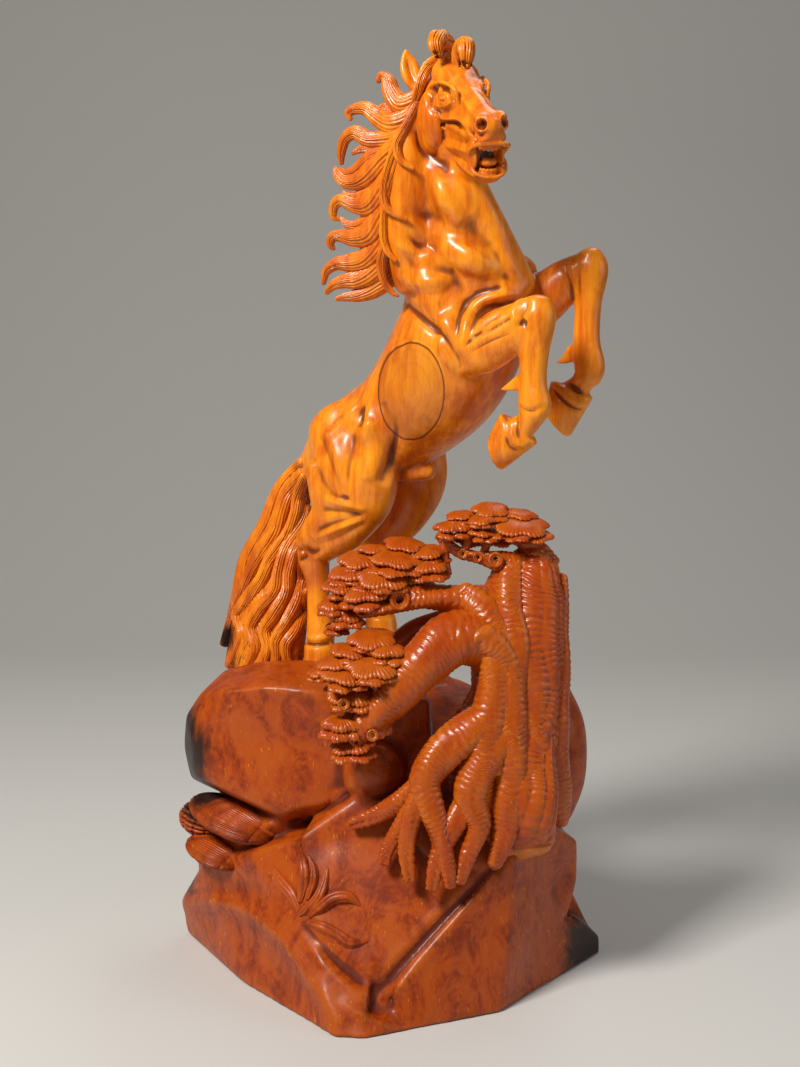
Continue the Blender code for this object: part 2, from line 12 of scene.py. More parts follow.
import bmesh
import bpy
import numpy as np
from bpy.props import FloatProperty, FloatVectorProperty, PointerProperty
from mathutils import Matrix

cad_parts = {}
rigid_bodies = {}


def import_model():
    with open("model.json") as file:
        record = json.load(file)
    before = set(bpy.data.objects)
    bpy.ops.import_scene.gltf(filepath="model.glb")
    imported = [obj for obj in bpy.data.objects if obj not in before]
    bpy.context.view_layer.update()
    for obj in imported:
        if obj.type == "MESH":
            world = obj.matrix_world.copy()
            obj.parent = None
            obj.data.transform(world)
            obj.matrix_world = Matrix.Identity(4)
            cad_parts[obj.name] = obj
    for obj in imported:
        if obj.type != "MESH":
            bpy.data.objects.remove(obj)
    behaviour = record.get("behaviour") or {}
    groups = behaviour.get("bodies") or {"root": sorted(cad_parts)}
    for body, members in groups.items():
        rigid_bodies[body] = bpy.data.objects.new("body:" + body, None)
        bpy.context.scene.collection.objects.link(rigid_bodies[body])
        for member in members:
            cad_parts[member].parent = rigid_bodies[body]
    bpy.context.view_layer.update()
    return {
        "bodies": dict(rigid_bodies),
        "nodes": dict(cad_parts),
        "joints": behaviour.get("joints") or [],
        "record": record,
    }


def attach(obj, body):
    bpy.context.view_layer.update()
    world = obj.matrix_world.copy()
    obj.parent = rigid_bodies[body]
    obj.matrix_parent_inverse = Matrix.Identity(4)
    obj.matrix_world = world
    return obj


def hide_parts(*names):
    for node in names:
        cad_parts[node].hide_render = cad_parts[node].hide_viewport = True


bl_info = {
    "name": "Carved horse statue",
    "version": (1, 0, 0),
    "blender": (4, 5, 0),
    "location": "3D View > Sidebar > Statue",
    "description": "Builds the carved wooden horse, its pine and rocks, and the stage",
    "category": "Object",
}

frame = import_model()

MM = 0.001
CENTRE = np.array((-12.0, 5.0, 0.0))
NODE = "horse_statue"

# Where the carver and the camera stand, and how the camera looks from there
EYE = np.array((0.0, -1500.0, 620.0))
LOOK_DOWN = 7.1
LENS = 52.13
SENSOR = 36.0

# How the horse and its head are turned, in degrees
HORSE_YAW = 30.0
HEAD_YAW = 70.0
HEAD_PITCH = 25.0
HEAD_ROLL = 9.0
HEAD_SCALE = 1.1
POLL = np.array((42.0, -47.0, 868.0))

# The most triangles that each piece is left with
MOST = {
    "horse": 140_000, "head": 120_000, "mane": 120_000, "tail": 80_000, "pine": 130_000,
    "pine_roots": 80_000, "needles": 120_000, "rocks": 110_000, "pads": 40_000, "grass": 20_000,
}


# Vectors and curves


def unit(vector):
    """The vector, or each row of an array of vectors, at length one."""
    vector = np.asarray(vector, float)
    return vector / np.maximum(np.linalg.norm(vector, axis=-1, keepdims=True), 1e-9)


def left_of(yaw):
    """The level direction to the left of a heading that is turned by yaw from +X to the viewer."""
    angle = math.radians(yaw)
    return np.array((math.sin(angle), math.cos(angle), 0.0))


HORSE_LEFT = left_of(HORSE_YAW)
HEAD_LEFT = left_of(HEAD_YAW)


def curve_through(points, per_span):
    """A Catmull-Rom curve through rows of numbers, with per_span steps from each row to the next."""
    rows = np.asarray(points, float)
    rows = np.vstack([2 * rows[0] - rows[1], rows, 2 * rows[-1] - rows[-2]])
    steps = np.linspace(0, 1, per_span, endpoint=False)[:, None]
    spans = []
    for a, b, c, d in zip(rows, rows[1:], rows[2:], rows[3:]):
        bend = 2 * a - 5 * b + 4 * c - d
        twist = 3 * b - a - 3 * c + d
        spans.append(b + 0.5 * steps * (c - a + steps * (bend + steps * twist)))
    return np.vstack([*spans, rows[-2:-1]])


def skin(rings):
    """A closed mesh over rings of points: quads between the rings, and a fan over each end."""
    count, sides = rings.shape[:2]
    index = np.arange(count * sides).reshape(count, sides)
    after = np.roll(index, -1, axis=1)
    quads = np.stack([index[:-1], after[:-1], after[1:], index[1:]], axis=-1).reshape(-1, 4).tolist()
    first = [(int(b), int(a), count * sides) for a, b in zip(index[0], after[0])]
    last = [(int(a), int(b), count * sides + 1) for a, b in zip(index[-1], after[-1])]
    points = np.vstack([rings.reshape(-1, 3), rings[0].mean(axis=0), rings[-1].mean(axis=0)])
    return points, quads + first + last


def loft(stations, side=HORSE_LEFT, end_side=None, sides=72, per_span=8, cap=0.6, relief=None):
    """A rounded body along a path. A station is x, y, z, half width along side, half depth across it.

    Ring i, angle t: centre_i + (w_i + h) cos(t) across_i + (d_i + h) sin(t) up_i, where the relief
    h(s, t, share) depends on the length s along the path, the angle and the share of the path done.
    """
    path = curve_through(stations, per_span)
    centre, width, depth = path[:, :3], path[:, 3], path[:, 4]
    tangent = unit(np.gradient(centre, axis=0))
    caps = 7
    bend = np.sin(np.linspace(0, math.pi / 2, caps + 1)[1:] * 0.97)
    reach = cap * np.minimum(width[[0, -1]], depth[[0, -1]])
    shrink = np.sqrt(1 - bend**2)
    head = centre[0] - tangent[0] * (bend[::-1, None] * reach[0])
    tail = centre[-1] + tangent[-1] * (bend[:, None] * reach[1])
    centre = np.vstack([head, centre, tail])
    width = np.concatenate([width[0] * shrink[::-1], width, width[-1] * shrink])
    depth = np.concatenate([depth[0] * shrink[::-1], depth, depth[-1] * shrink])
    tangent = np.vstack([np.repeat(tangent[:1], caps, 0), tangent, np.repeat(tangent[-1:], caps, 0)])
    share = np.linspace(0, 1, len(centre))[:, None]
    across = np.asarray(side) * (1 - share) + np.asarray(side if end_side is None else end_side) * share
    across = unit(across - (across * tangent).sum(axis=1, keepdims=True) * tangent)
    up = np.cross(tangent, across)
    angle = np.linspace(0, 2 * math.pi, sides, endpoint=False)[None, :]
    height = 0.0
    if relief is not None:
        length = np.concatenate([[0], np.cumsum(np.linalg.norm(np.diff(centre, axis=0), axis=1))])
        height = relief(length[:, None], angle, share) * np.minimum(1, np.minimum(width, depth) / 4)[:, None]
    wide = ((width[:, None] + height) * np.cos(angle))[..., None]
    deep = ((depth[:, None] + height) * np.sin(angle))[..., None]
    return skin(centre[:, None] + wide * across[:, None] + deep * up[:, None])


def ball(centre, radii, side=HORSE_LEFT, forward=None, sides=48, relief=None):
    """An ellipsoid: radii along forward, along side and across both, with an optional relief.

    Angle p from pole to pole, t round: r1 cos p forward + (r2 cos t side + r3 sin t up) sin p, each
    times 1 + relief(p, t).
    """
    side = unit(side)
    forward = unit(np.cross(side, (0, 0, 1)) if forward is None else forward)
    up = np.cross(forward, side)
    polar = np.linspace(0.04, math.pi - 0.04, sides // 2)[:, None]
    angle = np.linspace(0, 2 * math.pi, sides, endpoint=False)[None, :]
    height = 1.0 if relief is None else 1 + relief(polar, angle)
    along = (radii[0] * np.cos(polar) * np.ones_like(angle) * height)[..., None] * forward
    wide = (radii[1] * np.sin(polar) * np.cos(angle) * height)[..., None] * side
    deep = (radii[2] * np.sin(polar) * np.sin(angle) * height)[..., None] * up
    return skin(np.asarray(centre, float) - along + wide + deep)


def hull(corners):
    """The convex hull of a few corners, as a rock's facets."""
    mesh = bmesh.new()
    for corner in corners:
        mesh.verts.new(corner)
    made = bmesh.ops.convex_hull(mesh, input=mesh.verts)
    inside = list({*made["geom_interior"], *made["geom_unused"]})
    bmesh.ops.delete(mesh, geom=inside, context="VERTS")
    mesh.verts.index_update()
    points = np.array([vert.co for vert in mesh.verts])
    faces = [tuple(vert.index for vert in face.verts) for face in mesh.faces]
    mesh.free()
    return points, faces


def hoof(heel, front, toe, sole, half_width):
    """A hoof: an oval coronet from heel to front, and an oval sole from sole to toe."""
    heel, front, toe, sole = (np.asarray(p, float) for p in (heel, front, toe, sole))
    angle = np.linspace(0, 2 * math.pi, 40, endpoint=False)[:, None]
    rings = []
    for back, fore, wide in ((heel, front, 0.9), (sole, toe, 1.0)):
        middle, reach = (back + fore) / 2, (fore - back) / 2
        rings.append(middle + reach * np.cos(angle) + wide * half_width * HORSE_LEFT * np.sin(angle))
    return hull(np.vstack(rings))


# Meshes


def mesh_of(name, forms):
    """One mesh that holds every form, moved to the frame's centre and scaled to metres."""
    points, faces, count = [], [], 0
    for form_points, form_faces in forms:
        points.append((np.asarray(form_points) - CENTRE) * MM)
        faces += [tuple(index + count for index in face) for face in form_faces]
        count += len(form_points)
    mesh = bpy.data.meshes.new(name)
    mesh.from_pydata(np.vstack(points).tolist(), [], faces)
    work = bmesh.new()
    work.from_mesh(mesh)
    bmesh.ops.recalc_face_normals(work, faces=work.faces)
    work.to_mesh(mesh)
    work.free()
    return mesh


def united(name, forms, voxel):
    """The forms merged into one skin by a voxel Remesh of that size in millimetres."""
    rough = bpy.data.objects.new(name, mesh_of(name, forms))
    bpy.context.scene.collection.objects.link(rough)
    remesh = rough.modifiers.new("unite", "REMESH")
    remesh.mode = "VOXEL"
    remesh.voxel_size = voxel * MM
    bpy.context.view_layer.update()
    evaluated = rough.evaluated_get(bpy.context.evaluated_depsgraph_get())
    mesh = bpy.data.meshes.new_from_object(evaluated)
    bpy.data.objects.remove(rough)
    return mesh


class Clay:
    """A mesh whose points a carving step moves, as arrays of points and of the edges between them."""

    def __init__(self, mesh):
        self.mesh = mesh
        self.count = len(mesh.vertices)
        flat = np.empty(self.count * 3)
        mesh.vertices.foreach_get("co", flat)
        self.points = flat.reshape(-1, 3) / MM
        edges = np.empty(len(mesh.edges) * 2, int)
        mesh.edges.foreach_get("vertices", edges)
        edges = edges.reshape(-1, 2)
        self.start = np.concatenate([edges[:, 0], edges[:, 1]])
        self.stop = np.concatenate([edges[:, 1], edges[:, 0]])
        self.degree = np.maximum(np.bincount(self.start, minlength=self.count), 1)

    def mean(self, values):
        """The mean over each point's neighbours, column by column."""
        values = values.reshape(self.count, -1)
        columns = [
            np.bincount(self.start, weights=column[self.stop], minlength=self.count) for column in values.T
        ]
        return (np.stack(columns, axis=1) / self.degree[:, None]).squeeze()

    def normals(self):
        """Outward unit normals of the present shape."""
        self.store()
        flat = np.empty(self.count * 3, np.float32)
        self.mesh.vertex_normals.foreach_get("vector", flat)
        return flat.reshape(-1, 3).astype(float)

    def store(self):
        """Writes the points back to the mesh."""
        self.mesh.vertices.foreach_set("co", (self.points * MM).ravel())
        self.mesh.update()

    def soften(self, steps):
        """Moves every point half way to the mean of its neighbours, again and again."""
        for _ in range(steps):
            self.points += 0.5 * (self.mean(self.points) - self.points)
        return self

    def fill(self, steps):
        """Fills the creases: only points whose neighbours stand proud of them move, along the normal."""
        for step in range(steps):
            if step % 10 == 0:
                normal = self.normals()
            lift = ((self.mean(self.points) - self.points) * normal).sum(axis=1)
            self.points += 0.5 * np.maximum(lift, 0)[:, None] * normal
        return self

    def stroke(self, cuts, eye=EYE, reach=40):
        """Presses or lifts the skin near paths, along its normals, by depth exp(-(d / width)^2).

        A cut is a path of places, a width and a depth in millimetres: above zero lifts a ridge. The
        distance d beside the path is measured across the look from the eye, for skin no farther than
        the reach before or behind it, and only skin that faces the eye moves.
        """
        normal = self.normals()
        eye = eye - CENTRE
        facing = np.clip(-4 * (normal * unit(self.points - eye)).sum(axis=1), 0, 1)
        shift = np.zeros(self.count)
        for path, width, depth in cuts:
            line = curve_through(np.asarray(path, float) - CENTRE, 12)
            ease = np.sin(np.linspace(0.12, 0.88, len(line)) * math.pi) ** 0.5
            way = unit(line.mean(axis=0) - eye)
            span = 2.4 * width + reach * np.abs(way)
            low, high = line.min(axis=0) - span, line.max(axis=0) + span
            near = np.nonzero(((self.points > low) & (self.points < high)).all(axis=1) & (facing > 0))[0]
            if not len(near):
                continue
            apart = self.points[near, None] - line[None]
            gap = (apart**2).sum(axis=2) - (apart @ way) ** 2
            best = gap.argmin(axis=1)
            fall = np.exp(-gap[np.arange(len(near)), best] / width**2)
            shift[near] += depth * ease[best] * fall * facing[near]
        self.points += shift[:, None] * normal
        return self

    def hollow(self):
        """How deep each point lies in a crease, as its curvature over the usual one of the piece."""
        bend = ((self.mean(self.points) - self.points) * self.normals()).sum(axis=1)
        for _ in range(3):
            bend = self.mean(bend)
        return bend / max(np.abs(bend).mean(), 1e-6)


def finish_piece(name, clay, material):
    """Stores the clay as a piece of the statue that stands in for part of the solid."""
    mesh = clay.mesh
    # The crease depth, which the wood material uses to paint shade into hollows and a highlight onto ridges
    hollow = clay.hollow().astype(np.float32)
    mesh.attributes.new("hollow", "FLOAT", "POINT").data.foreach_set("value", hollow)
    mesh.polygons.foreach_set("use_smooth", np.ones(len(mesh.polygons), bool))
    mesh.materials.clear()
    mesh.materials.append(material)
    mesh.name = name
    piece = bpy.data.objects.new(name, mesh)
    bpy.context.scene.collection.objects.link(piece)
    triangles = sum(len(p.vertices) - 2 for p in mesh.polygons)
    if triangles > MOST[name]:
        thin = piece.modifiers.new("thin", "DECIMATE")
        thin.ratio = MOST[name] / triangles
    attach(piece, "root")
    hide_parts(NODE)


# The horse


def horse_forms():
    """Barrel, neck, shoulder and legs of the horse, without its head."""
    barrel = [
        (-82, 80, 490, 30, 24), (-56, 64, 508, 48, 42), (-30, 50, 522, 54, 50), (4, 28, 546, 55, 53),
        (38, 8, 584, 59, 62), (58, -4, 624, 56, 64), (65, -9, 659, 50, 60), (76, -16, 692, 40, 48),
    ]
    neck = [
        (66, -10, 668, 46, 68), (54, -20, 715, 37, 58), (45, -29, 755, 29, 48), (38, -37, 791, 24, 38),
        (34, -44, 826, 19, 28), (34, -47, 846, 16, 20),
    ]
    far_shoulder = [(102, 10, 655, 20, 28), (110, 4, 680, 20, 24), (116, 0, 693, 15, 17)]
    nape = [
        (18, -46, 828, 13, 13), (13, -40, 795, 20, 17), (9, -32, 760, 25, 22), (11, -22, 719, 30, 25),
        (19, -14, 678, 28, 25),
    ]
    throat = [(41, -38, 786, 10, 10), (42, -48, 774, 15, 15), (48, -56, 757, 20, 20), (59, -54, 734, 20, 20)]
    muscles = [
        [(46, -48, 707, 14, 12), (66, -53, 694, 17, 15), (87, -53, 683, 13, 12)],
        [(13, -23, 718, 11, 10), (26, -32, 699, 15, 13), (37, -38, 677, 15, 13)],
        [(47, -61, 768, 9, 9), (60, -59, 746, 11, 10), (77, -58, 725, 10, 10)],
        [(-25, -9, 541, 14, 13), (-21, -3, 517, 17, 15), (-31, -9, 488, 14, 12)],
    ]
    buttock = [
        (-79, 22, 498, 14, 16), (-74, 20, 472, 14, 17), (-74, 22, 452, 13, 15), (-85, 28, 433, 12, 14),
        (-94, 32, 418, 11, 13),
    ]
    breast = [(28, -26, 694, 28, 22), (40, -30, 666, 28, 22), (49, -36, 641, 20, 18)]
    sheath = [(0, 20, 494, 10, 12), (18, 10, 494, 10, 11), (30, 4, 493, 7.5, 8)]
    forms = [loft(barrel, sides=110), loft(neck, end_side=HEAD_LEFT, sides=110)]
    forms += [loft(far_shoulder), loft(sheath)]
    forms += [loft(muscle) for muscle in muscles]
    forms += [loft(nape), loft(throat), loft(buttock), loft(breast)]
    near_fore = [
        loft([
            (50, -44, 622, 22, 36), (74, -62, 616, 19, 28), (100, -76, 630, 17, 23), (124, -86, 645, 15, 17),
        ]),
        loft([
            (124, -86, 654, 13, 14), (124, -87, 640, 16, 18), (122, -87, 610, 12.5, 14),
            (121, -87, 582, 12, 13), (123, -88, 562, 14, 16), (123, -88, 552, 12, 12),
        ]),
        loft([(123, -88, 557, 13, 13), (117, -84, 545, 11, 11), (110, -79, 540, 12, 13)]),
        hoof((94, -66, 555), (126, -86, 527), (94, -68, 500), (84, -62, 532), 16),
        loft([(112, -80, 583, 4, 9), (98, -72, 577, 2.5, 4), (92, -69, 576, 1, 1.5)], cap=0.5),
    ]
    far_fore = [
        loft([(92, 16, 640, 22, 36), (130, -6, 655, 20, 26), (156, -19, 676, 17, 21), (178, -30, 690, 14, 15)]),
        loft([
            (178, -30, 700, 12, 12), (180, -30, 686, 15, 16), (177, -31, 655, 12, 13), (176, -32, 620, 12, 13),
            (179, -34, 596, 13, 15), (178, -34, 584, 12, 12),
        ]),
        loft([(178, -34, 588, 12, 12), (170, -29, 578, 11, 11), (163, -25, 571, 12, 13)]),
        hoof((145, -14, 583), (182, -38, 567), (161, -26, 528), (140, -12, 557), 16),
        loft([(166, -26, 610, 4, 10), (156, -20, 602, 2.5, 5), (148, -16, 599, 1, 1.5)], cap=0.5),
    ]
    near_hind = [
        loft([
            (-62, 42, 540, 26, 34), (-48, 22, 505, 31, 44), (-42, 12, 475, 27, 42), (-56, 18, 440, 19, 28),
            (-76, 30, 418, 14, 18), (-88, 36, 410, 12, 15),
        ]),
        loft([
            (-90, 38, 420, 11, 14), (-87, 38, 404, 13, 17), (-83, 38, 380, 11, 13), (-82, 36, 350, 11, 12),
            (-80, 33, 330, 13, 15), (-79, 31, 316, 12, 13),
        ]),
        hoof((-95, 40, 318), (-66, 22, 316), (-62, 18, 284), (-96, 38, 284), 17),
    ]
    far_hind = [
        loft([
            (-18, 100, 545, 26, 38), (4, 84, 508, 29, 44), (12, 76, 478, 25, 38), (2, 80, 442, 18, 26),
            (-18, 90, 416, 14, 17), (-30, 95, 408, 12, 15),
        ]),
        loft([
            (-31, 95, 416, 11, 14), (-29, 94, 400, 13, 16), (-26, 92, 373, 11, 12), (-20, 89, 350, 13, 15),
            (-19, 88, 338, 12, 13),
        ]),
        hoof((-34, 94, 336), (-6, 78, 336), (-2, 74, 306), (-36, 94, 306), 17),
    ]
    return forms + near_fore + far_fore + near_hind + far_hind


def horse_strokes():
    """The carved muscles: each a path on the skin, a width and a depth."""
    return [
        # Neck
        ([(36, -64, 776), (42, -65, 766), (54, -66, 746), (66, -66, 727), (79, -65, 713)], 8.4, -2.9),
        ([(72, -66, 757), (83, -63, 739), (97, -58, 716)], 8.0, 2.2),
        ([(27, -57, 773), (42, -61, 746), (57, -64, 724)], 8.0, 2.2),
        ([(14, -52, 808), (21, -55, 793), (30, -61, 781), (41, -67, 776)], 4.8, -1.6),
        ([(50, -69, 772), (60, -69, 767), (69, -67, 762)], 6.0, -1.6),
        ([(11, -36, 737), (36, -55, 733), (54, -63, 725), (73, -65, 713)], 7.2, -2.1),
        ([(22, -41, 721), (43, -56, 714), (61, -62, 703), (77, -63, 692)], 9.0, 3.1),
        ([(8, -33, 721), (15, -32, 710), (22, -37, 699)], 6.0, -2.3),
        ([(4, -28, 697), (15, -27, 690), (28, -41, 688), (46, -53, 683)], 6.0, -2.1),
        ([(0, -33, 710), (12, -28, 704), (25, -40, 702)], 5.0, 2.5),
        ([(0, -23, 681), (15, -25, 675), (30, -41, 675), (43, -50, 678)], 6.0, 2.3),
        ([(0, -18, 670), (19, -32, 664), (37, -48, 665), (48, -52, 673)], 6.0, -1.7),
        ([(48, -53, 682), (55, -56, 669), (59, -59, 654)], 6.0, -2.0),
        # Shoulder and breast
        ([(52, -58, 697), (66, -62, 692), (82, -63, 683)], 14.0, 4.0),
        ([(72, -60, 670), (85, -62, 675), (99, -60, 677), (111, -56, 673)], 7.2, -2.6),
        ([(92, -62, 703), (99, -60, 692), (107, -57, 679)], 6.0, 2.7),
        ([(84, -64, 706), (92, -62, 696), (98, -60, 683)], 6.0, -2.0),
        ([(51, -70, 623), (55, -63, 645), (68, -58, 661), (90, -61, 668)], 4.5, -3.4),
        ([(57, -74, 621), (62, -67, 641), (74, -60, 656), (93, -59, 662), (113, -47, 661)], 4.0, 3.0),
        ([(62, -77, 621), (70, -71, 639), (83, -59, 650), (102, -51, 655)], 3.5, -1.8),
        # Behind the jowl, and the barrel's front edge
        ([(17, -53, 808), (22, -56, 796), (31, -63, 786), (41, -68, 781)], 7.0, -5.0),
        ([(8, -20, 653), (18, -40, 643), (39, -63, 625), (50, -68, 608), (55, -66, 597)], 5.0, -4.5),
        ([(5, -13, 666), (25, -43, 652), (41, -61, 636), (51, -70, 615)], 8.0, 2.7),
        # Near forearm, cannon and fetlock, then the far one's
        ([(61, -76, 616), (75, -81, 632), (91, -84, 645)], 1.8, -2.0),
        ([(68, -79, 625), (83, -86, 631), (100, -92, 641)], 1.8, -2.0),
        ([(66, -78, 611), (82, -86, 620), (99, -93, 627)], 1.8, -1.8),
        ([(104, -95, 633), (114, -99, 638)], 3.0, -2.0),
        ([(121, -100, 617), (119, -99, 598), (119, -99, 578)], 2.2, -1.2),
        ([(109, -91, 560), (119, -100, 557), (129, -101, 561)], 2.4, -2.2),
        ([(173, -42, 668), (176, -43, 630), (175, -46, 597)], 2.6, -0.9),
        # Flank and haunch
        ([(-29, -15, 536), (-25, -13, 511), (-30, -18, 487)], 16.0, 4.0),
        ([(-16, -24, 560), (-5, -26, 536), (-8, -11, 510), (-16, -16, 489)], 6.0, -4.5),
        ([(-59, 22, 558), (-73, 17, 543), (-81, 18, 526)], 10.0, 3.0),
        ([(-35, -6, 562), (-38, -8, 552), (-38, -9, 541)], 5, -6.0),
        ([(-35, -5, 563), (-47, 2, 552), (-56, 5, 540), (-68, 6, 528)], 4, 2.5),
        ([(-33, -7, 563), (-30, -14, 545), (-33, -11, 525)], 5, 3.0),
        ([(-76, 13, 526), (-67, -2, 502), (-55, -10, 470)], 5, -2.4),
        ([(-71, 9, 530), (-61, -6, 504), (-53, -11, 475)], 4.5, 2.0),
        ([(-43, -5, 537), (-49, -13, 504), (-53, -11, 471)], 5, -2.6),
        ([(-84, 18, 502), (-74, 5, 483), (-62, -5, 469)], 4.5, -2.0),
        # Gaskin and hock
        ([(-70, 4, 466), (-53, -10, 463), (-36, -15, 459)], 3.6, 2.6),
        ([(-73, 9, 456), (-54, -8, 455), (-38, -13, 453)], 3.4, -1.6),
        ([(-79, 15, 437), (-61, -2, 446), (-41, -12, 452)], 3.4, -1.4),
        ([(-83, 19, 427), (-61, 0, 438), (-39, -11, 447)], 2.6, 1.8),
        ([(-81, 16, 420), (-58, 0, 430), (-37, -9, 443)], 3.6, -1.4),
        ([(-96, 29, 415), (-87, 22, 411), (-79, 16, 415)], 3.5, -2.5),
        # Pasterns and hooves of the forelegs, and the far knee
        ([(106, -86, 550), (106, -90, 542), (108, -90, 534)], 4, -2.8),
        ([(100, -87, 536), (106, -88, 528), (114, -87, 524)], 2.8, 2.2),
        ([(95, -85, 534), (100, -86, 524), (108, -84, 519)], 2.2, -1.8),
        ([(98, -67, 551), (98, -85, 541), (100, -87, 530)], 2.4, -1.6),
        ([(149, -21, 580), (156, -38, 571), (166, -41, 563), (175, -39, 561)], 3.2, 3.0),
        ([(144, -25, 576), (153, -37, 565), (162, -40, 558), (171, -38, 555)], 2.2, -1.8),
        ([(161, -36, 580), (166, -40, 575), (170, -41, 572)], 4, -2.5),
        ([(167, -40, 689), (168, -39, 658), (169, -41, 621), (169, -42, 588)], 2.2, -1.3),
        ([(154, -34, 688), (159, -37, 675), (162, -31, 659)], 3, -2.0),
        # Near knee
        ([(112, -46, 658), (102, -92, 646), (104, -95, 633)], 3, 2.0),
        ([(115, -96, 653), (110, -97, 641), (114, -98, 630)], 2.6, -1.8),
        # Near hind hoof
        ([(-97, 50, 314), (-84, 19, 319), (-72, 20, 320)], 2.2, -1.5),
        ([(-96, 55, 320), (-83, 20, 324), (-72, 21, 327)], 3.2, 2.0),
    ]


# The head, laid out along its own axis: forward from the poll, left, up


def head_place(points):
    """Head places turned and moved to the statue."""
    left = HEAD_LEFT
    pitch, roll = math.radians(HEAD_PITCH), math.radians(HEAD_ROLL)
    level = np.array((left[1], -left[0], 0.0))
    forward = level * math.cos(pitch) - np.array((0, 0, math.sin(pitch)))
    up = np.cross(forward, left)
    left, up = left * math.cos(roll) + up * math.sin(roll), up * math.cos(roll) - left * math.sin(roll)
    return HEAD_SCALE * np.asarray(points, float) @ np.array([forward, left, up]) + POLL


def ring(points, thickness):
    """A rounded cord through places, as for a lid, a lip or a rim."""
    points = np.asarray(points, float)
    return loft(np.column_stack([points, np.full((len(points), 2), thickness)]), side=(1, 0, 0), sides=20)


def mirrored(points, sign):
    """Head places kept (sign -1, the right half) or mirrored to the left half (sign 1)."""
    return np.asarray(points, float) * np.array((1, -sign, 1))


def circle(centre, radius, normal):
    """Places round a circle, a little more than once so that its ends overlap."""
    normal = unit(normal)
    first = unit(np.cross(normal, (0, 0, 1)))
    second = np.cross(normal, first)
    angle = np.linspace(0, 2 * math.pi * 1.06, 14)[:, None]
    return np.asarray(centre, float) + radius * (np.cos(angle) * first + np.sin(angle) * second)


NOSTRIL = np.array((110, -9.5, -12))
NOSTRIL_WAY = np.array((0.62, -0.62, 0.36))


def head_forms():
    """Skull, cheeks, open jaws with teeth and tongue, lips, brows and nostril rims."""
    across, ahead = (0, 1, 0), (1, 0, 0)
    skull = [
        (-10, 0, -22, 18, 17), (8, 0, -20, 23, 19), (28, 0, -19, 22, 19), (46, 0, -18, 18, 18),
        (64, 0, -17, 13.5, 16), (86, 0, -17, 11.5, 14), (102, 0, -17, 12, 12), (111, 0, -17, 11, 9),
    ]
    cheeks = [
        (10, 0, -44, 20, 20), (36, 0, -44, 18, 19), (64, 0, -43, 12.5, 17), (84, 0, -43, 12, 14),
        (93, 0, -43, 11, 11),
    ]
    jaw = [
        (20, 0, -57, 12, 9), (50, 0, -58, 12, 8), (78, 0, -57, 12, 7), (96, 0, -56, 12.5, 5),
        (106, 0, -55, 10, 4),
    ]
    poll = [(2, 0, -4, 15, 13), (18, 0, 0, 17, 13), (34, 0, -4, 16, 13), (52, 0, -11, 13, 12)]
    forms = [loft(skull, side=across), loft(cheeks, side=across), loft(jaw, side=across)]

    def lump(centre, radii, sides=48):
        forms.append(ball(centre, radii, side=across, forward=ahead, sides=sides))

    upper_lip = [
        (97, -13, -43), (100, -14.5, -37), (105, -14.5, -31), (112, -10, -27.5), (116, 0, -26.5),
        (116, 8, -27.5), (113, 13, -30), (104, 14.5, -36), (97, 13, -43),
    ]
    lower_lip = [
        (97, -13, -43), (100, -14, -48), (106, -12, -52.5), (112, -5, -54.5), (114, 3, -54.5), (112, 10, -52.5),
        (104, 14, -48), (97, 13, -43),
    ]
    forms += [ring(upper_lip, 1.8), ring(lower_lip, 1.7)]
    lump((106, 0, -22), (10, 13, 6))
    lump((108, 0, -25), (8, 11, 4.5))
    lump((103, 0, -57), (10, 10.5, 5))
    lump((105, 9.5, -51), (6, 3.5, 3.5))
    tongue = ball((102, 0, -46), (9, 7, 3.6), side=across, forward=(1, 0, 0.25))
    forms.append(tongue)
    for gum, reach in ((-32, 9), (-51, 8)):
        for angle in np.linspace(-1.15, 1.15, 7):
            lump((101 + reach * 1.1 * math.cos(angle), reach * math.sin(angle), gum), (1.6, 1.6, 3.0), 12)
    forms.append(loft(poll, side=across))
    for sign in (-1, 1):
        lump(mirrored((17, -20.5, -41), sign), (26, 12.5, 27))
        lump(mirrored((44, -13, -10), sign), (15, 8, 11))
        seam = [
            (30, 10 * sign, -32, 9, 10), (60, 6 * sign, -31, 7.5, 8), (84, 5 * sign, -30, 7, 7),
            (96, 5 * sign, -30, 6, 5),
        ]
        forms.append(loft(seam, side=across))
        brow = [
            (4.4, -19.0, -25.1), (10.0, -19.5, -16.1), (20.5, -19.5, -7.3), (36.7, -18.0, 0.2),
            (49.2, -16.0, 1.6), (60.9, -14.5, 0.1), (64.8, -13.0, -6.5),
        ]
        forms.append(ring(mirrored(brow, sign), 1.5))
        lump(mirrored((95, -11.5, -42), sign), (11, 2.6, 12))
        lump(mirrored((103, -7, -13), sign), (9, 7, 8))
        forms.append(ring(circle(mirrored(NOSTRIL, sign), 4.8, NOSTRIL_WAY * (1, -sign, 1)), 1.7))
    return [(head_place(points), faces) for points, faces in forms]


def head_eye(sign):
    """The carver's eye for the right half of the head, or its mirror image for the left half."""
    frame = (head_place(np.eye(3)) - POLL) / HEAD_SCALE
    return (frame @ (EYE - POLL)) * (1, -sign, 1) @ frame + POLL


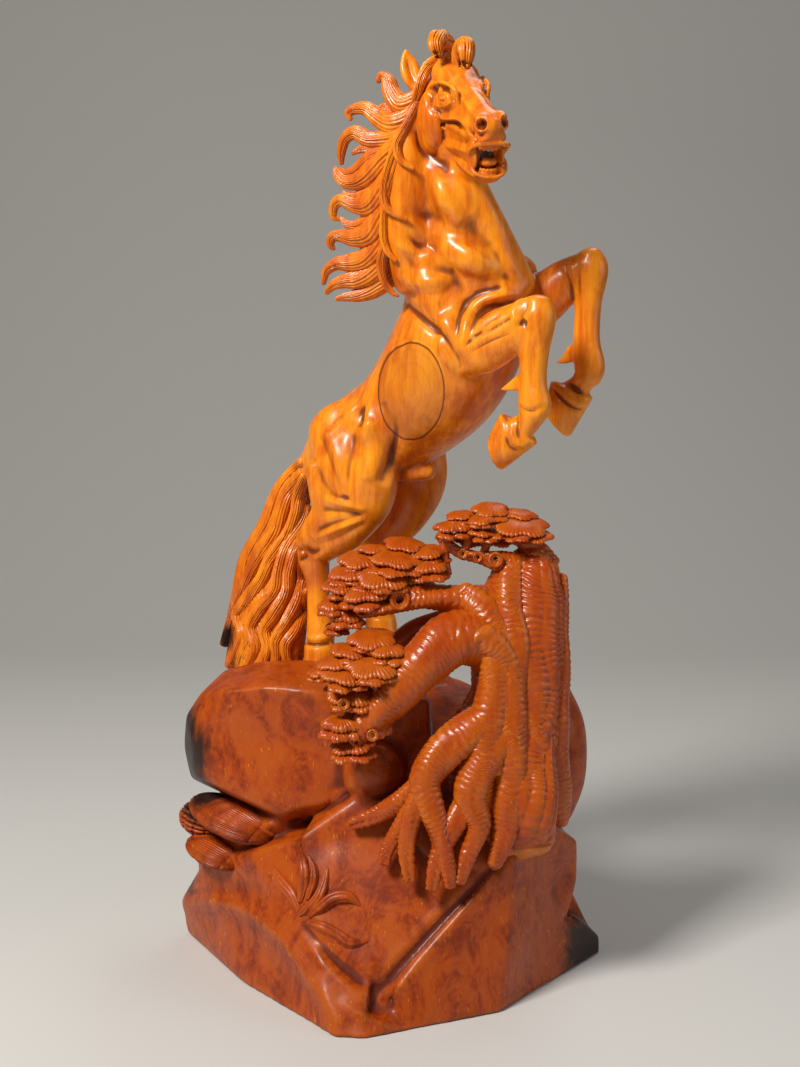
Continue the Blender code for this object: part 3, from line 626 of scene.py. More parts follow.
def head_strokes(sign):
    """The chisel's work on one half of the face: brow, eye, bridge, cheek, mouth and nostril."""
    cuts = [
        # The brow's raised arch and the hollow under it
        ([
            (5.9, -21.0, -22.2), (12.3, -21.0, -13.8), (21.9, -20.0, -6.1), (36.7, -18.0, 0.2),
            (49.2, -16.0, 1.6), (59.5, -14.0, -0.4), (62.8, -13.0, -5.7),
        ], 2.2, 1.0),
        ([
            (20.8, -21.0, -21.3), (22.8, -21.0, -14.2), (32.3, -20.0, -7.2), (42.9, -18.0, -2.9),
            (53.3, -16.0, -2.7), (58.6, -15.0, -6.8),
        ], 2.4, -3.6),
        # The eyeball, the lower lid, the line round the eye and the hollow below it
        ([(42.7, -20.0, -11.1), (43.9, -19.0, -10.9), (49.9, -19.0, -9.0)], 4.0, 0.5),
        ([(26.3, -20.0, -19.7), (38.7, -20.0, -18.7), (50.1, -19.0, -15.3), (61.1, -18.0, -9.2)], 1.1, 0.9),
        ([
            (36.6, -20.0, -13.0), (42.6, -20.0, -8.3), (47.8, -19.0, -6.9), (51.9, -19.0, -8.4),
            (48.0, -19.0, -11.7), (42.7, -20.0, -13.2), (36.6, -20.0, -13.0),
        ], 1.0, -1.1),
        ([(16.6, -21.0, -25.4), (38.8, -20.0, -23.6), (61.2, -18.0, -14.7)], 3.0, -1.2),
        # The forehead's edge, the edge of the nose's bridge and the dip beside it
        ([(41.3, -14.0, 12.9), (50.6, -13.0, 5.9), (58.0, -12.0, -1.7)], 3.2, 1.6),
        ([(58.9, -11.0, 4.7), (68.1, -10.0, -3.0), (82.8, -9.0, -8.2), (98.0, -9.0, -11.0)], 3.0, 2.0),
        ([(62.6, -15.0, -8.3), (77.4, -14.0, -10.8), (92.0, -13.0, -13.8)], 5.0, -1.8),
        # The crest of the cheek, the groove under it and the jowl's front edge
        ([
            (32.7, -20.0, -27.7), (51.5, -18.0, -24.8), (75.4, -16.0, -17.4), (87.3, -14.0, -19.3),
            (94.4, -13.0, -24.7),
        ], 2.0, 2.8),
        ([
            (51.6, -18.0, -29.0), (62.7, -17.0, -24.8), (77.5, -16.0, -22.3), (84.6, -15.0, -25.6),
            (89.8, -14.0, -31.7),
        ], 2.2, -1.8),
        ([(45.7, -18.0, -37.3), (45.9, -18.0, -43.7), (43.3, -17.0, -52.6), (38.6, -16.0, -62.2)], 1.1, -1.5),
        # The folds from the jowl towards the mouth
        ([(49.1, -17.0, -41.3), (69.4, -15.0, -36.9), (93.6, -14.0, -32.5)], 2.4, -0.9),
        ([(49.3, -17.0, -48.4), (71.6, -15.0, -43.2), (93.9, -14.0, -38.6)], 2.4, 1.6),
        ([(46.7, -16.0, -55.9), (71.9, -15.0, -50.2), (92.3, -14.0, -46.9)], 2.4, -0.9),
        ([(37.2, -14.0, -66.6), (68.7, -13.0, -61.6), (100.7, -12.0, -56.8)], 2.4, 1.2),
        # The nostril, and a crease and a fold below it
        ((NOSTRIL + (-0.6, 0.6, 0), NOSTRIL + (0.6, -0.6, 0.4)), 3.8, -9.0),
        ([(102.2, -12.5, -21.5), (111.2, -11.0, -20.8), (117.6, -8.0, -17.0)], 2.0, -1.8),
        ([(108.6, -12.0, -26.3), (115.9, -10.0, -22.1), (122.3, -7.0, -18.9)], 2.4, 1.2),
    ]
    cuts = [
        (head_place(mirrored(path, sign)), width * HEAD_SCALE, depth * HEAD_SCALE)
        for path, width, depth in cuts
    ]
    if sign < 0:
        cuts.append((head_place([(6, 0, 0), (34, 0, 2), (58, 0, 0), (84, 0, -2)]), 5, 1.6))
        cuts.append(([(13, -50, 856), (9, -50, 867), (6, -48, 877)], 4.5, -5.0))
    return cuts


def ear_forms():
    """Two pricked ears, leaning outwards."""
    right = [
        (17, -46, 850, 7, 6), (11, -45, 861, 9.5, 6), (8, -44, 871, 8.5, 5), (6, -44, 879, 5, 3.5),
        (5, -44, 884, 1.5, 1.5),
    ]
    left = [(51, -42, 852, 6, 6), (57, -38, 865, 7, 5), (60, -38, 876, 5, 3), (61, -38, 885, 2, 2)]
    return [loft(right, side=(1, 0.2, 0)), loft(left, side=(1, -0.2, 0))]


# Hair


def hair(strands, depth, sway=0.0, wave=80.0):
    """A relief of that many combed strands around a lock, with a few deeper partings.

    Along the lock the strands sway by d = sway sin(2 pi s / wave + 0.8) and a small share of their own;
    the grooves are -depth (1 - |cos(strands t / 2 + strands d / 8)|)^1.3 and the partings
    -0.9 depth (1 - |cos(3 t / 2 + 0.7 + 0.4 d)|)^4.
    """

    def relief(length, angle, share):
        drift = sway * np.sin(2 * math.pi * length / wave + 0.8) + 0.35 * np.sin(3 * angle + length / 31)
        comb = np.abs(np.cos(0.5 * strands * angle + 0.5 * strands * drift * 0.25))
        deep = np.abs(np.cos(1.5 * angle + 0.7 + drift * 0.4))
        return -depth * (1 - comb) ** 1.3 - 0.9 * depth * (1 - deep) ** 4

    return relief


def mane_locks():
    """The filler along the crest of the neck, and the locks that stream back from it."""
    crest = [
        (22, -36, 848, 10, 11), (7, -32, 823, 12, 12), (-2, -26, 791, 13, 13), (-8, -20, 755, 14, 14),
        (-9, -12, 715, 14, 14), (-8, -6, 678, 11, 11),
    ]
    locks = [
        [
            (22, -50, 853, 5, 5), (15, -48, 841, 8, 8), (2, -42, 836, 10, 10), (-7, -37, 846, 9, 9),
            (-11, -35, 858, 7, 7), (-17, -34, 863, 4, 4), (-20, -34, 858, 2.5, 2.5),
        ],
        [
            (16, -50, 839, 6, 6), (9, -46, 825, 9, 9), (-6, -39, 819, 11, 11), (-19, -32, 825, 9, 9),
            (-30, -27, 834, 7.5, 7), (-40, -23, 835, 6, 5.5), (-48, -22, 831, 4, 4), (-46, -24, 825, 2, 2),
        ],
        [(0, -38, 824, 6, 6), (-7, -34, 830, 5, 5), (-14, -31, 835, 4, 4), (-19, -30, 835, 2, 2)],
        [
            (15, -50, 828, 6, 6), (4, -44, 811, 9, 9), (-11, -35, 806, 9, 9), (-28, -29, 806, 8, 8),
            (-41, -24, 813, 7, 7), (-51, -20, 808, 5.5, 5.5), (-55, -18, 796, 4.5, 4.5),
            (-55, -17, 786, 2.5, 2.5),
        ],
        [(-7, -36, 799, 6, 6), (-22, -30, 797, 5, 5), (-35, -25, 798, 4, 4), (-44, -24, 794, 2, 2)],
        [
            (13, -50, 819, 6, 6), (1, -44, 802, 10, 10), (-13, -34, 789, 11, 11), (-26, -28, 777, 11, 12),
            (-39, -23, 769, 9, 9), (-51, -19, 769, 7, 7), (-58, -17, 775, 5, 5), (-61, -16, 781, 2.5, 2.5),
        ],
        [
            (0, -38, 804, 7, 7), (-14, -32, 796, 8, 8), (-28, -27, 788, 8, 8), (-40, -22, 778, 7, 7),
            (-50, -19, 776, 5, 5), (-56, -17, 780, 2, 2),
        ],
        [
            (9, -46, 803, 6, 6), (-2, -40, 782, 10, 10), (-14, -31, 763, 12, 12), (-28, -25, 748, 11, 12),
            (-42, -20, 747, 8, 8), (-55, -16, 752, 6, 6), (-62, -13, 747, 5, 5), (-63, -12, 737, 3.5, 3.5),
            (-57, -13, 734, 2, 2),
        ],
        [
            (-2, -36, 787, 7, 7), (-13, -30, 773, 8, 8), (-24, -25, 761, 8, 8), (-38, -20, 754, 7, 7),
            (-47, -18, 755, 4, 4), (-53, -17, 759, 2, 2),
        ],
        [
            (6, -42, 781, 6, 6), (-4, -34, 758, 10, 10), (-15, -26, 738, 12, 12), (-28, -21, 721, 12, 13),
            (-43, -17, 717, 9, 9), (-55, -13, 719, 6.5, 6.5), (-64, -11, 718, 5, 5), (-66, -10, 711, 4, 4),
            (-63, -10, 707, 2, 2),
        ],
        [
            (-4, -32, 760, 7, 7), (-15, -26, 746, 8, 8), (-27, -21, 734, 8, 8), (-40, -17, 728, 6, 6),
            (-50, -14, 730, 4, 4), (-56, -13, 735, 2, 2),
        ],
        [
            (2, -34, 755, 6, 6), (-8, -26, 728, 10, 10), (-19, -20, 709, 11, 12), (-33, -16, 697, 10, 11),
            (-47, -12, 694, 8, 9), (-60, -9, 693, 6.5, 6.5), (-70, -8, 686, 4.5, 4.5), (-73, -7, 675, 2.5, 2.5),
        ],
        [
            (0, -28, 728, 6, 6), (-9, -20, 703, 9, 9), (-23, -15, 687, 10, 11), (-38, -12, 679, 9, 10),
            (-52, -9, 677, 7.5, 7.5), (-63, -8, 673, 5, 5), (-70, -7, 666, 2.5, 2.5),
        ],
        [
            (0, -20, 705, 6, 6), (-9, -14, 682, 9, 9), (-23, -10, 670, 9, 9), (-38, -8, 664, 7.5, 7),
            (-51, -7, 662, 5, 4.5), (-60, -7, 660, 2.5, 2.5),
        ],
        [
            (16, -58, 834, 5, 4), (6, -57, 815, 6, 4), (-2, -56, 799, 6, 4), (-1, -58, 787, 5, 4),
            (5, -60, 780, 3.5, 3), (12, -62, 776, 2, 2),
        ],
        [
            (4, -54, 813, 5, 4), (-5, -52, 794, 5.5, 4), (-12, -49, 773, 5.5, 4), (-15, -48, 756, 5.5, 4),
            (-13, -50, 743, 5, 4), (-5, -53, 736, 3.5, 3), (6, -57, 731, 2, 2),
        ],
        [
            (-2, -50, 785, 5, 4), (-10, -46, 758, 6, 4), (-14, -42, 736, 6, 4), (-15, -40, 715, 5, 4),
            (-11, -42, 702, 4, 3), (-4, -44, 694, 2, 2),
        ],
        [
            (-9, -40, 736, 5, 4), (-13, -36, 714, 6, 5), (-17, -30, 694, 6, 5), (-15, -28, 677, 5, 4),
            (-8, -28, 666, 3, 3), (-2, -30, 662, 1.5, 1.5),
        ],
    ]
    return crest, locks


def forelock_locks():
    """The forelock in two thick curls, and the strands beside them."""
    return [
        [
            (48, -64, 858, 9, 9), (45, -62, 872, 12, 10), (40, -66, 884, 11, 10), (34, -76, 888, 9, 8),
            (32, -84, 881, 8, 7), (34, -85, 873, 6, 5),
        ],
        [
            (54, -76, 849, 7, 7), (55, -76, 860, 10, 9), (55, -78, 871, 11, 9), (56, -86, 878, 10, 9),
            (58, -95, 878, 9, 8), (59, -99, 870, 8, 7), (59, -98, 862, 5, 5),
        ],
        [(47, -58, 864, 8, 8), (47, -60, 876, 8, 7), (47, -62, 883, 6, 6), (47, -62, 888, 3, 3)],
        [
            (33, -58, 874, 4, 4), (25, -58, 867, 5, 5), (19, -60, 853, 5.5, 5), (15, -60, 841, 4.5, 4),
            (12, -58, 834, 2.5, 2.5),
        ],
        [(61, -62, 867, 4, 4), (67, -56, 862, 4, 4), (71, -50, 856, 3, 3)],
    ]


def curl_strokes():
    """The hollows under the two curls of the forelock."""
    return [
        ([(30, -92, 868), (34, -92, 867), (39, -92, 868)], 4.2, -4.5),
        ([(54, -104, 858), (59, -104, 855), (63, -104, 858)], 4.2, -4.5),
    ]


def tail_locks():
    """The heavy tail, falling from the dock to the boulder, and its locks."""
    fall = [
        (-88, 82, 497, 12, 13), (-103, 88, 473, 16, 16), (-116, 92, 438, 18, 22), (-124, 90, 403, 22, 30),
        (-130, 82, 364, 25, 37), (-134, 72, 329, 26, 42), (-136, 64, 299, 26, 41), (-136, 58, 274, 26, 36),
    ]
    locks = [
        [
            (-98, 56, 499, 6, 6), (-105, 82, 491, 7, 7), (-123, 87, 467, 9, 9), (-138, 85, 430, 10, 10),
            (-158, 87, 394, 9, 10), (-167, 87, 358, 8, 9), (-176, 107, 328, 7, 8), (-186, 107, 302, 5, 5),
        ],
        [
            (-99, 62, 488, 6, 6), (-112, 78, 470, 8, 7), (-119, 77, 453, 9, 8), (-127, 76, 429, 9, 8),
            (-142, 76, 405, 9, 8), (-156, 79, 377, 9, 8), (-169, 90, 351, 7, 8), (-179, 111, 326, 4, 4),
        ],
        [
            (-96, 57, 485, 6, 5), (-104, 75, 464, 8, 6), (-106, 74, 446, 9, 6), (-115, 71, 424, 9, 6),
            (-131, 68, 401, 9, 7), (-141, 65, 379, 9, 7), (-158, 70, 355, 8, 8), (-168, 76, 338, 7, 7),
            (-162, 61, 320, 5, 6), (-174, 70, 290, 4, 4),
        ],
        [
            (-96, 82, 451, 6, 5), (-101, 77, 435, 8, 6), (-116, 66, 410, 8, 6), (-123, 60, 388, 9, 6),
            (-127, 54, 368, 9, 7), (-143, 53, 348, 9, 7), (-152, 52, 330, 8, 7), (-146, 44, 312, 7, 6),
            (-156, 45, 289, 5, 5),
        ],
        [
            (-99, 79, 427, 7, 5), (-108, 66, 408, 8, 6), (-113, 59, 386, 9, 6), (-115, 52, 367, 9, 6),
            (-127, 45, 347, 9, 7), (-137, 43, 329, 8, 6), (-134, 37, 312, 7, 6), (-141, 32, 290, 5, 4),
        ],
        [
            (-94, 28, 411, 7, 5), (-99, 65, 382, 8, 6), (-103, 55, 361, 9, 6), (-114, 43, 339, 9, 6),
            (-125, 37, 320, 8, 6), (-125, 35, 304, 7, 5), (-129, 29, 291, 4, 4),
        ],
        [
            (-93, 37, 371, 6, 5), (-96, 61, 347, 7, 6), (-104, 45, 331, 8, 6), (-115, 37, 317, 8, 6),
            (-115, 35, 304, 6, 5), (-111, 35, 293, 4, 4),
        ],
        [
            (-138, 96, 387, 10, 12), (-153, 98, 351, 10, 14), (-165, 96, 317, 9, 13), (-172, 90, 294, 8, 11),
            (-178, 84, 283, 5, 6),
        ],
        [
            (-127, 120, 390, 14, 12), (-140, 122, 347, 16, 14), (-146, 112, 305, 16, 14),
            (-146, 100, 273, 12, 12),
        ],
    ]
    return fall, locks


# The rocks


def rock_forms():
    """The boulder under the horse and the faceted rock that carries everything."""
    boulder = hull([
        (-196, -18, 277), (-206, -22, 237), (-201, -20, 193), (-178, -44, 192), (-144, -58, 180),
        (-116, -66, 169), (-86, -68, 179), (-53, -66, 200), (-47, -72, 250), (-90, -64, 290), (-131, -60, 293),
        (-167, -46, 287), (-174, 12, 295), (-138, 14, 303), (-94, 6, 306), (-54, -6, 304), (-181, 74, 281),
        (-104, 84, 288), (-213, 4, 250), (-216, 6, 218), (-210, 10, 184), (-218, 56, 233), (-217, 56, 177),
        (-202, 60, 263), (-198, 92, 224), (-198, 86, 165), (-96, 108, 220), (-96, 100, 143), (29, -56, 280),
        (29, -60, 207), (0, 10, 297), (21, 80, 248), (-100, 0, 134),
    ])
    foot = [
        (-225, 66), (-153, -64), (-59, -183), (-31, -185), (-3, -165), (15, -165), (93, -130), (132, -78),
        (204, 12), (192, 110), (100, 185), (-60, 195), (-180, 150),
    ]
    core = [
        (-196, 66, 60), (-150, -20, 60), (-40, -140, 20), (110, -60, 60), (160, 60, 90), (60, 150, 110),
        (-130, 130, 110),
    ]
    base = hull([(x, y, z) for x, y in foot for z in (0, 4)] + core)
    left = hull([
        (-225, 66, 0), (-153, -64, 0), (-59, -183, 0), (-33, -184, 0), (-230, 62, 38), (-188, -5, 63),
        (-140, -60, 62), (-103, -105, 48), (-80, -135, 31), (-53, -160, 17), (-202, 14, 92), (-148, -50, 128),
        (-94, -84, 152), (-88, -110, 78), (0, -60, 180), (0, 60, 180), (-150, 110, 120), (-190, 80, 90),
        (-40, -150, 6),
    ])
    grass = hull([
        (-94, -92, 158), (-48, -86, 190), (-26, -80, 197), (0, -86, 190), (60, -100, 170), (104, -110, 148),
        (-26, -150, 38), (-20, -148, 30), (-74, -128, 78), (-93, -112, 100), (40, 20, 190), (-60, 40, 180),
    ])
    right = hull([
        (15, -165, 0), (-3, -165, 0), (93, -130, 0), (132, -78, 0), (-8, -160, 30), (112, -104, 156),
        (146, -62, 159), (176, -20, 129), (177, -20, 91), (163, -30, 82), (166, -24, 50), (60, -40, 120),
        (110, 60, 150), (150, 60, 130), (-4, -150, 22),
    ])
    middle = hull([
        (-20, -50, 200), (60, -60, 230), (110, -40, 250), (150, 20, 240), (60, 90, 270), (-30, 120, 280),
        (-30, 60, 200), (150, 90, 150), (120, 110, 60), (0, 150, 60),
    ])
    lobe = loft([
        (150, 36, 150, 42, 28), (158, 34, 185, 46, 31), (160, 34, 230, 40, 28), (152, 36, 268, 28, 20),
    ], side=(0, 1, 0))
    ledge = hull([
        (-50, 80, 298), (-20, 58, 300), (14, 66, 298), (30, 96, 292), (10, 128, 284), (-40, 124, 288),
        (-90, 90, 200), (-60, 172, 150), (40, 182, 140), (110, 130, 150), (90, 60, 240), (-90, 150, 40),
        (60, 192, 40), (120, 150, 60), (-40, 60, 200),
    ])
    back_rock = hull([
        (-205, 72, 40), (-192, 112, 50), (-120, 165, 40), (-60, 185, 60), (-188, 66, 172), (-160, 112, 188),
        (-90, 132, 215), (-30, 142, 220), (-40, 60, 150),
    ])
    root_rock = hull([
        (49, -78, 249), (23, -92, 202), (-2, -108, 173), (33, -124, 134), (93, -112, 139), (154, -60, 175),
        (151, -40, 276), (76, -62, 281), (38, -60, 163), (134, -70, 156), (101, 20, 242), (122, 20, 127),
    ])
    corner = hull([
        (132, -78, 0), (204, 12, 0), (205, 20, 15), (171, -15, 55), (140, -66, 30), (150, 20, 20),
        (190, 70, 10), (190, 70, 0),
    ])
    log_end = ball((-26, -70, 214), (26, 30, 30), side=(1, 0, 0), forward=(0, 1, 0))
    filler = hull([
        (-208, 30, 149), (-209, 30, 90), (-126, -50, 156), (-149, -34, 128), (-177, 60, 157), (-102, -30, 174),
        (-209, 60, 69), (-93, -40, 145),
    ])
    chamfer = [
        (-24, -146, 20, 9, 9), (2, -135, 48, 10, 10), (38, -122, 81, 10, 10), (76, -110, 115, 10, 10),
        (104, -99, 142, 7, 7),
    ]
    return [
        loft(chamfer), boulder, base, left, grass, right, middle, lobe, ledge, back_rock,
        root_rock, corner, log_end, filler,
    ]


def rock_strokes():
    """Chamfers and dips on the boulder and the front rocks."""
    return [
        # The long groove across the front and the raised line at each side of it
        ([(-22, -142, 22), (4, -99, 39), (37, -116, 82), (72, -114, 119), (103, -104, 146)], 4.5, -3.0),
        ([(-31, -155, 32), (-4, -138, 56), (30, -128, 89), (65, -118, 123)], 5, 2.5),
        ([(-13, -147, 20), (13, -145, 52), (46, -129, 84), (80, -117, 116), (109, -108, 144)], 5, 2.5),
        # The broad dip to its right
        ([(18, -157, 17), (51, -142, 51), (89, -121, 89), (129, -84, 121)], 20, -3.0),
        # The ridge across the left front, a dip below and above it, and the edge higher up
        ([
            (-221, 47, 40), (-187, -10, 62), (-150, -56, 71), (-117, -98, 64), (-91, -131, 48), (-71, -156, 28),
            (-56, -170, 12),
        ], 7, 4.0),
        ([(-187, -10, 38), (-145, -67, 41), (-107, -117, 27), (-80, -153, 13)], 16, -4.0),
        ([(-184, -10, 81), (-145, -58, 96), (-109, -97, 91)], 13, -4.0),
        ([(-107, -62, 145), (-78, -71, 178), (-47, -89, 205)], 5, 2.5),
        # The middle face: a hollow, a swelling, a groove and two raised lines
        ([(-84, -98, 146), (-56, -98, 157), (-35, -105, 146)], 16, -3.0),
        ([(-19, -124, 102), (0, -133, 82), (-9, -141, 61)], 20, 3.0),
        ([(-90, -113, 75), (-69, -128, 60), (-46, -140, 45), (-26, -147, 34)], 8, -5.0),
        ([(-103, -106, 83), (-82, -127, 63), (-57, -141, 41), (-35, -159, 26)], 5, 2.5),
        ([(-50, -162, 24), (-34, -168, 14), (-15, -165, 4)], 5, 3.0),
        # The dips of the right corner
        ([(135, -106, 153), (151, -54, 101), (141, -67, 45), (122, -91, 16)], 14, -3.0),
        ([(169, -31, 103), (159, -44, 84), (166, -30, 57)], 7, -5.0),
        # The boulder: its worn shoulder and faces, the raised line on its top and its two cracks
        ([(-194, 3, 266), (-160, -22, 282), (-125, -46, 278), (-103, -66, 267)], 12, -3.0),
        ([(-161, -61, 254), (-130, -77, 246), (-107, -85, 237)], 30, -7.0),
        ([(-175, -13, 280), (-161, -11, 285), (-128, -13, 290), (-93, -33, 286), (-67, -62, 276)], 8, 3.0),
        ([(-94, -77, 256), (-73, -89, 240), (-66, -91, 211)], 18, -4.0),
        ([(-45, -93, 224), (-36, -91, 234), (-21, -89, 238), (-6, -88, 228)], 3, -2.5),
        ([(-43, -93, 220), (-36, -93, 202), (-19, -91, 195), (-2, -79, 198)], 3, -2.5),
    ]


def groove_relief(count, depth, bands):
    """A relief of grooves that run from pole to pole of a ball, with a few bands across.

    -depth (1 - |cos(count t / 2)|)^1.5 - depth / 2 (1 - |cos(bands p / 2 + 0.3 sin 2t)|)^4.
    """

    def relief(polar, angle):
        comb = 1 - np.abs(np.cos(0.5 * count * angle))
        band = 1 - np.abs(np.cos(0.5 * bands * polar + 0.3 * np.sin(2 * angle)))
        return -depth * comb**1.5 - 0.5 * depth * band**4

    return relief


def pad_forms():
    """Ribbed needle cushions that lie fallen at the boulder's left."""
    upper = unit((0.80, -0.55, -0.22))
    spread = unit(np.cross((0, 0, 1), upper))
    first, second, third = [(-166, -16, 151), (-183, -6, 113), (-200, 24, 138)]
    return [
        ball(first, (52, 30, 17), spread, upper, 300, groove_relief(58, 0.07, 9)),
        ball(second, (36, 26, 13), spread, upper, 240, groove_relief(46, 0.08, 7)),
        ball(third, (26, 24, 18), spread, upper, 160, groove_relief(20, 0.16, 12)),
    ]


def grass_forms():
    """A tuft of six carved blades on the middle face."""
    level, steep = (1, 0, 0.1), (0.1, -0.45, 0.9)
    blades = (
        (level, [
            (-121, -75, 122, 1.5, 1.5), (-117, -81, 117, 4, 3), (-110, -90, 110, 6.5, 5),
            (-101, -100, 103, 6.0, 5), (-94, -110, 92, 3, 3),
        ]),
        (level, [
            (-100, -65, 149, 1.5, 1.5), (-95, -88, 143, 4, 3), (-90, -103, 132, 6.5, 5),
            (-89, -109, 119, 6.0, 5), (-93, -109, 101, 3, 3),
        ]),
        (level, [
            (-86, -100, 141, 1.5, 1.5), (-81, -106, 131, 4, 3), (-81, -111, 120, 4.5, 4),
            (-86, -114, 105, 3, 3),
        ]),
        (level, [
            (-68, -107, 131, 1.5, 1.5), (-70, -112, 120, 4, 3), (-75, -117, 107, 6.0, 5),
            (-85, -118, 97, 4.5, 4), (-93, -112, 89, 3, 3),
        ]),
        (steep, [
            (-84, -120, 90, 3, 3), (-74, -121, 99, 6.0, 5), (-62, -120, 107, 7.0, 5), (-48, -121, 109, 6.0, 5),
            (-36, -123, 101, 1.5, 1.5),
        ]),
        (steep, [
            (-88, -112, 81, 3, 3), (-74, -127, 83, 6.0, 5), (-59, -132, 77, 7.0, 5), (-46, -137, 71, 6.0, 5),
            (-30, -136, 72, 1.5, 1.5),
        ]),
    )
    rib = hair(6, 0.8)
    return [loft(blade, side=side, sides=60, per_span=14, relief=rib) for side, blade in blades]


# The pine


def bark(pitch, depth, flutes, flute_depth):
    """A relief of wrinkled rings across a stem, pitch apart, on top of flutes that run along it.

    Rings: depth (|sin(pi (s + 1.5 d) / pitch)|^0.7 - 0.6), where d is a sum of sines of the angle and
    the length; flutes: a share of flute_depth (|cos(flutes t / 2)|^0.5 - 0.75); and low lumps.
    """

    def relief(length, angle, share):
        drift = np.sin(2 * angle + length / 19) + 0.6 * np.sin(5 * angle - length / 13 + 1.3)
        drift = drift + 0.45 * np.sin(9 * angle + length / 7.1) + 0.3 * np.sin(14 * angle - length / 5.3)
        drift = drift + 1.1 * np.sin(length / 8.3) + 0.8 * np.sin(angle - length / 5.7)
        rings = np.abs(np.sin(math.pi * (length + 1.5 * drift) / pitch)) ** 0.7 - 0.6
        patch = 0.75 + 0.45 * np.sin(3 * angle + length / 8.7) * np.sin(length / 11 - 2 * angle)
        lumps = 1.1 * np.sin(3 * angle + length / 17) * np.sin(length / 23 + 1)
        rib = np.abs(np.cos(0.5 * flutes * (angle + 0.22 * np.sin(length / 38) + 0.1 * np.sin(length / 15))))
        along = flute_depth * (0.5 + 0.5 * (1 - share)) * (rib**0.5 - 0.75)
        return depth * rings * patch + lumps + along

    return relief


# The knot holes: a place, the radius of the rim and its thickness
KNOTS = [
    ((89, -76, 418), 5.0, 2.4), ((73, -67, 419), 3.2, 1.6), ((59, -64, 422), 3.2, 1.6),
    ((0, -87, 382), 7.0, 3.0), ((-35, -80, 372), 5.5, 2.2),
    ((-51, -128, 293), 4.0, 1.8), ((-25, -128, 264), 4.0, 1.8), ((-40, -124, 257), 3.6, 1.6),
]


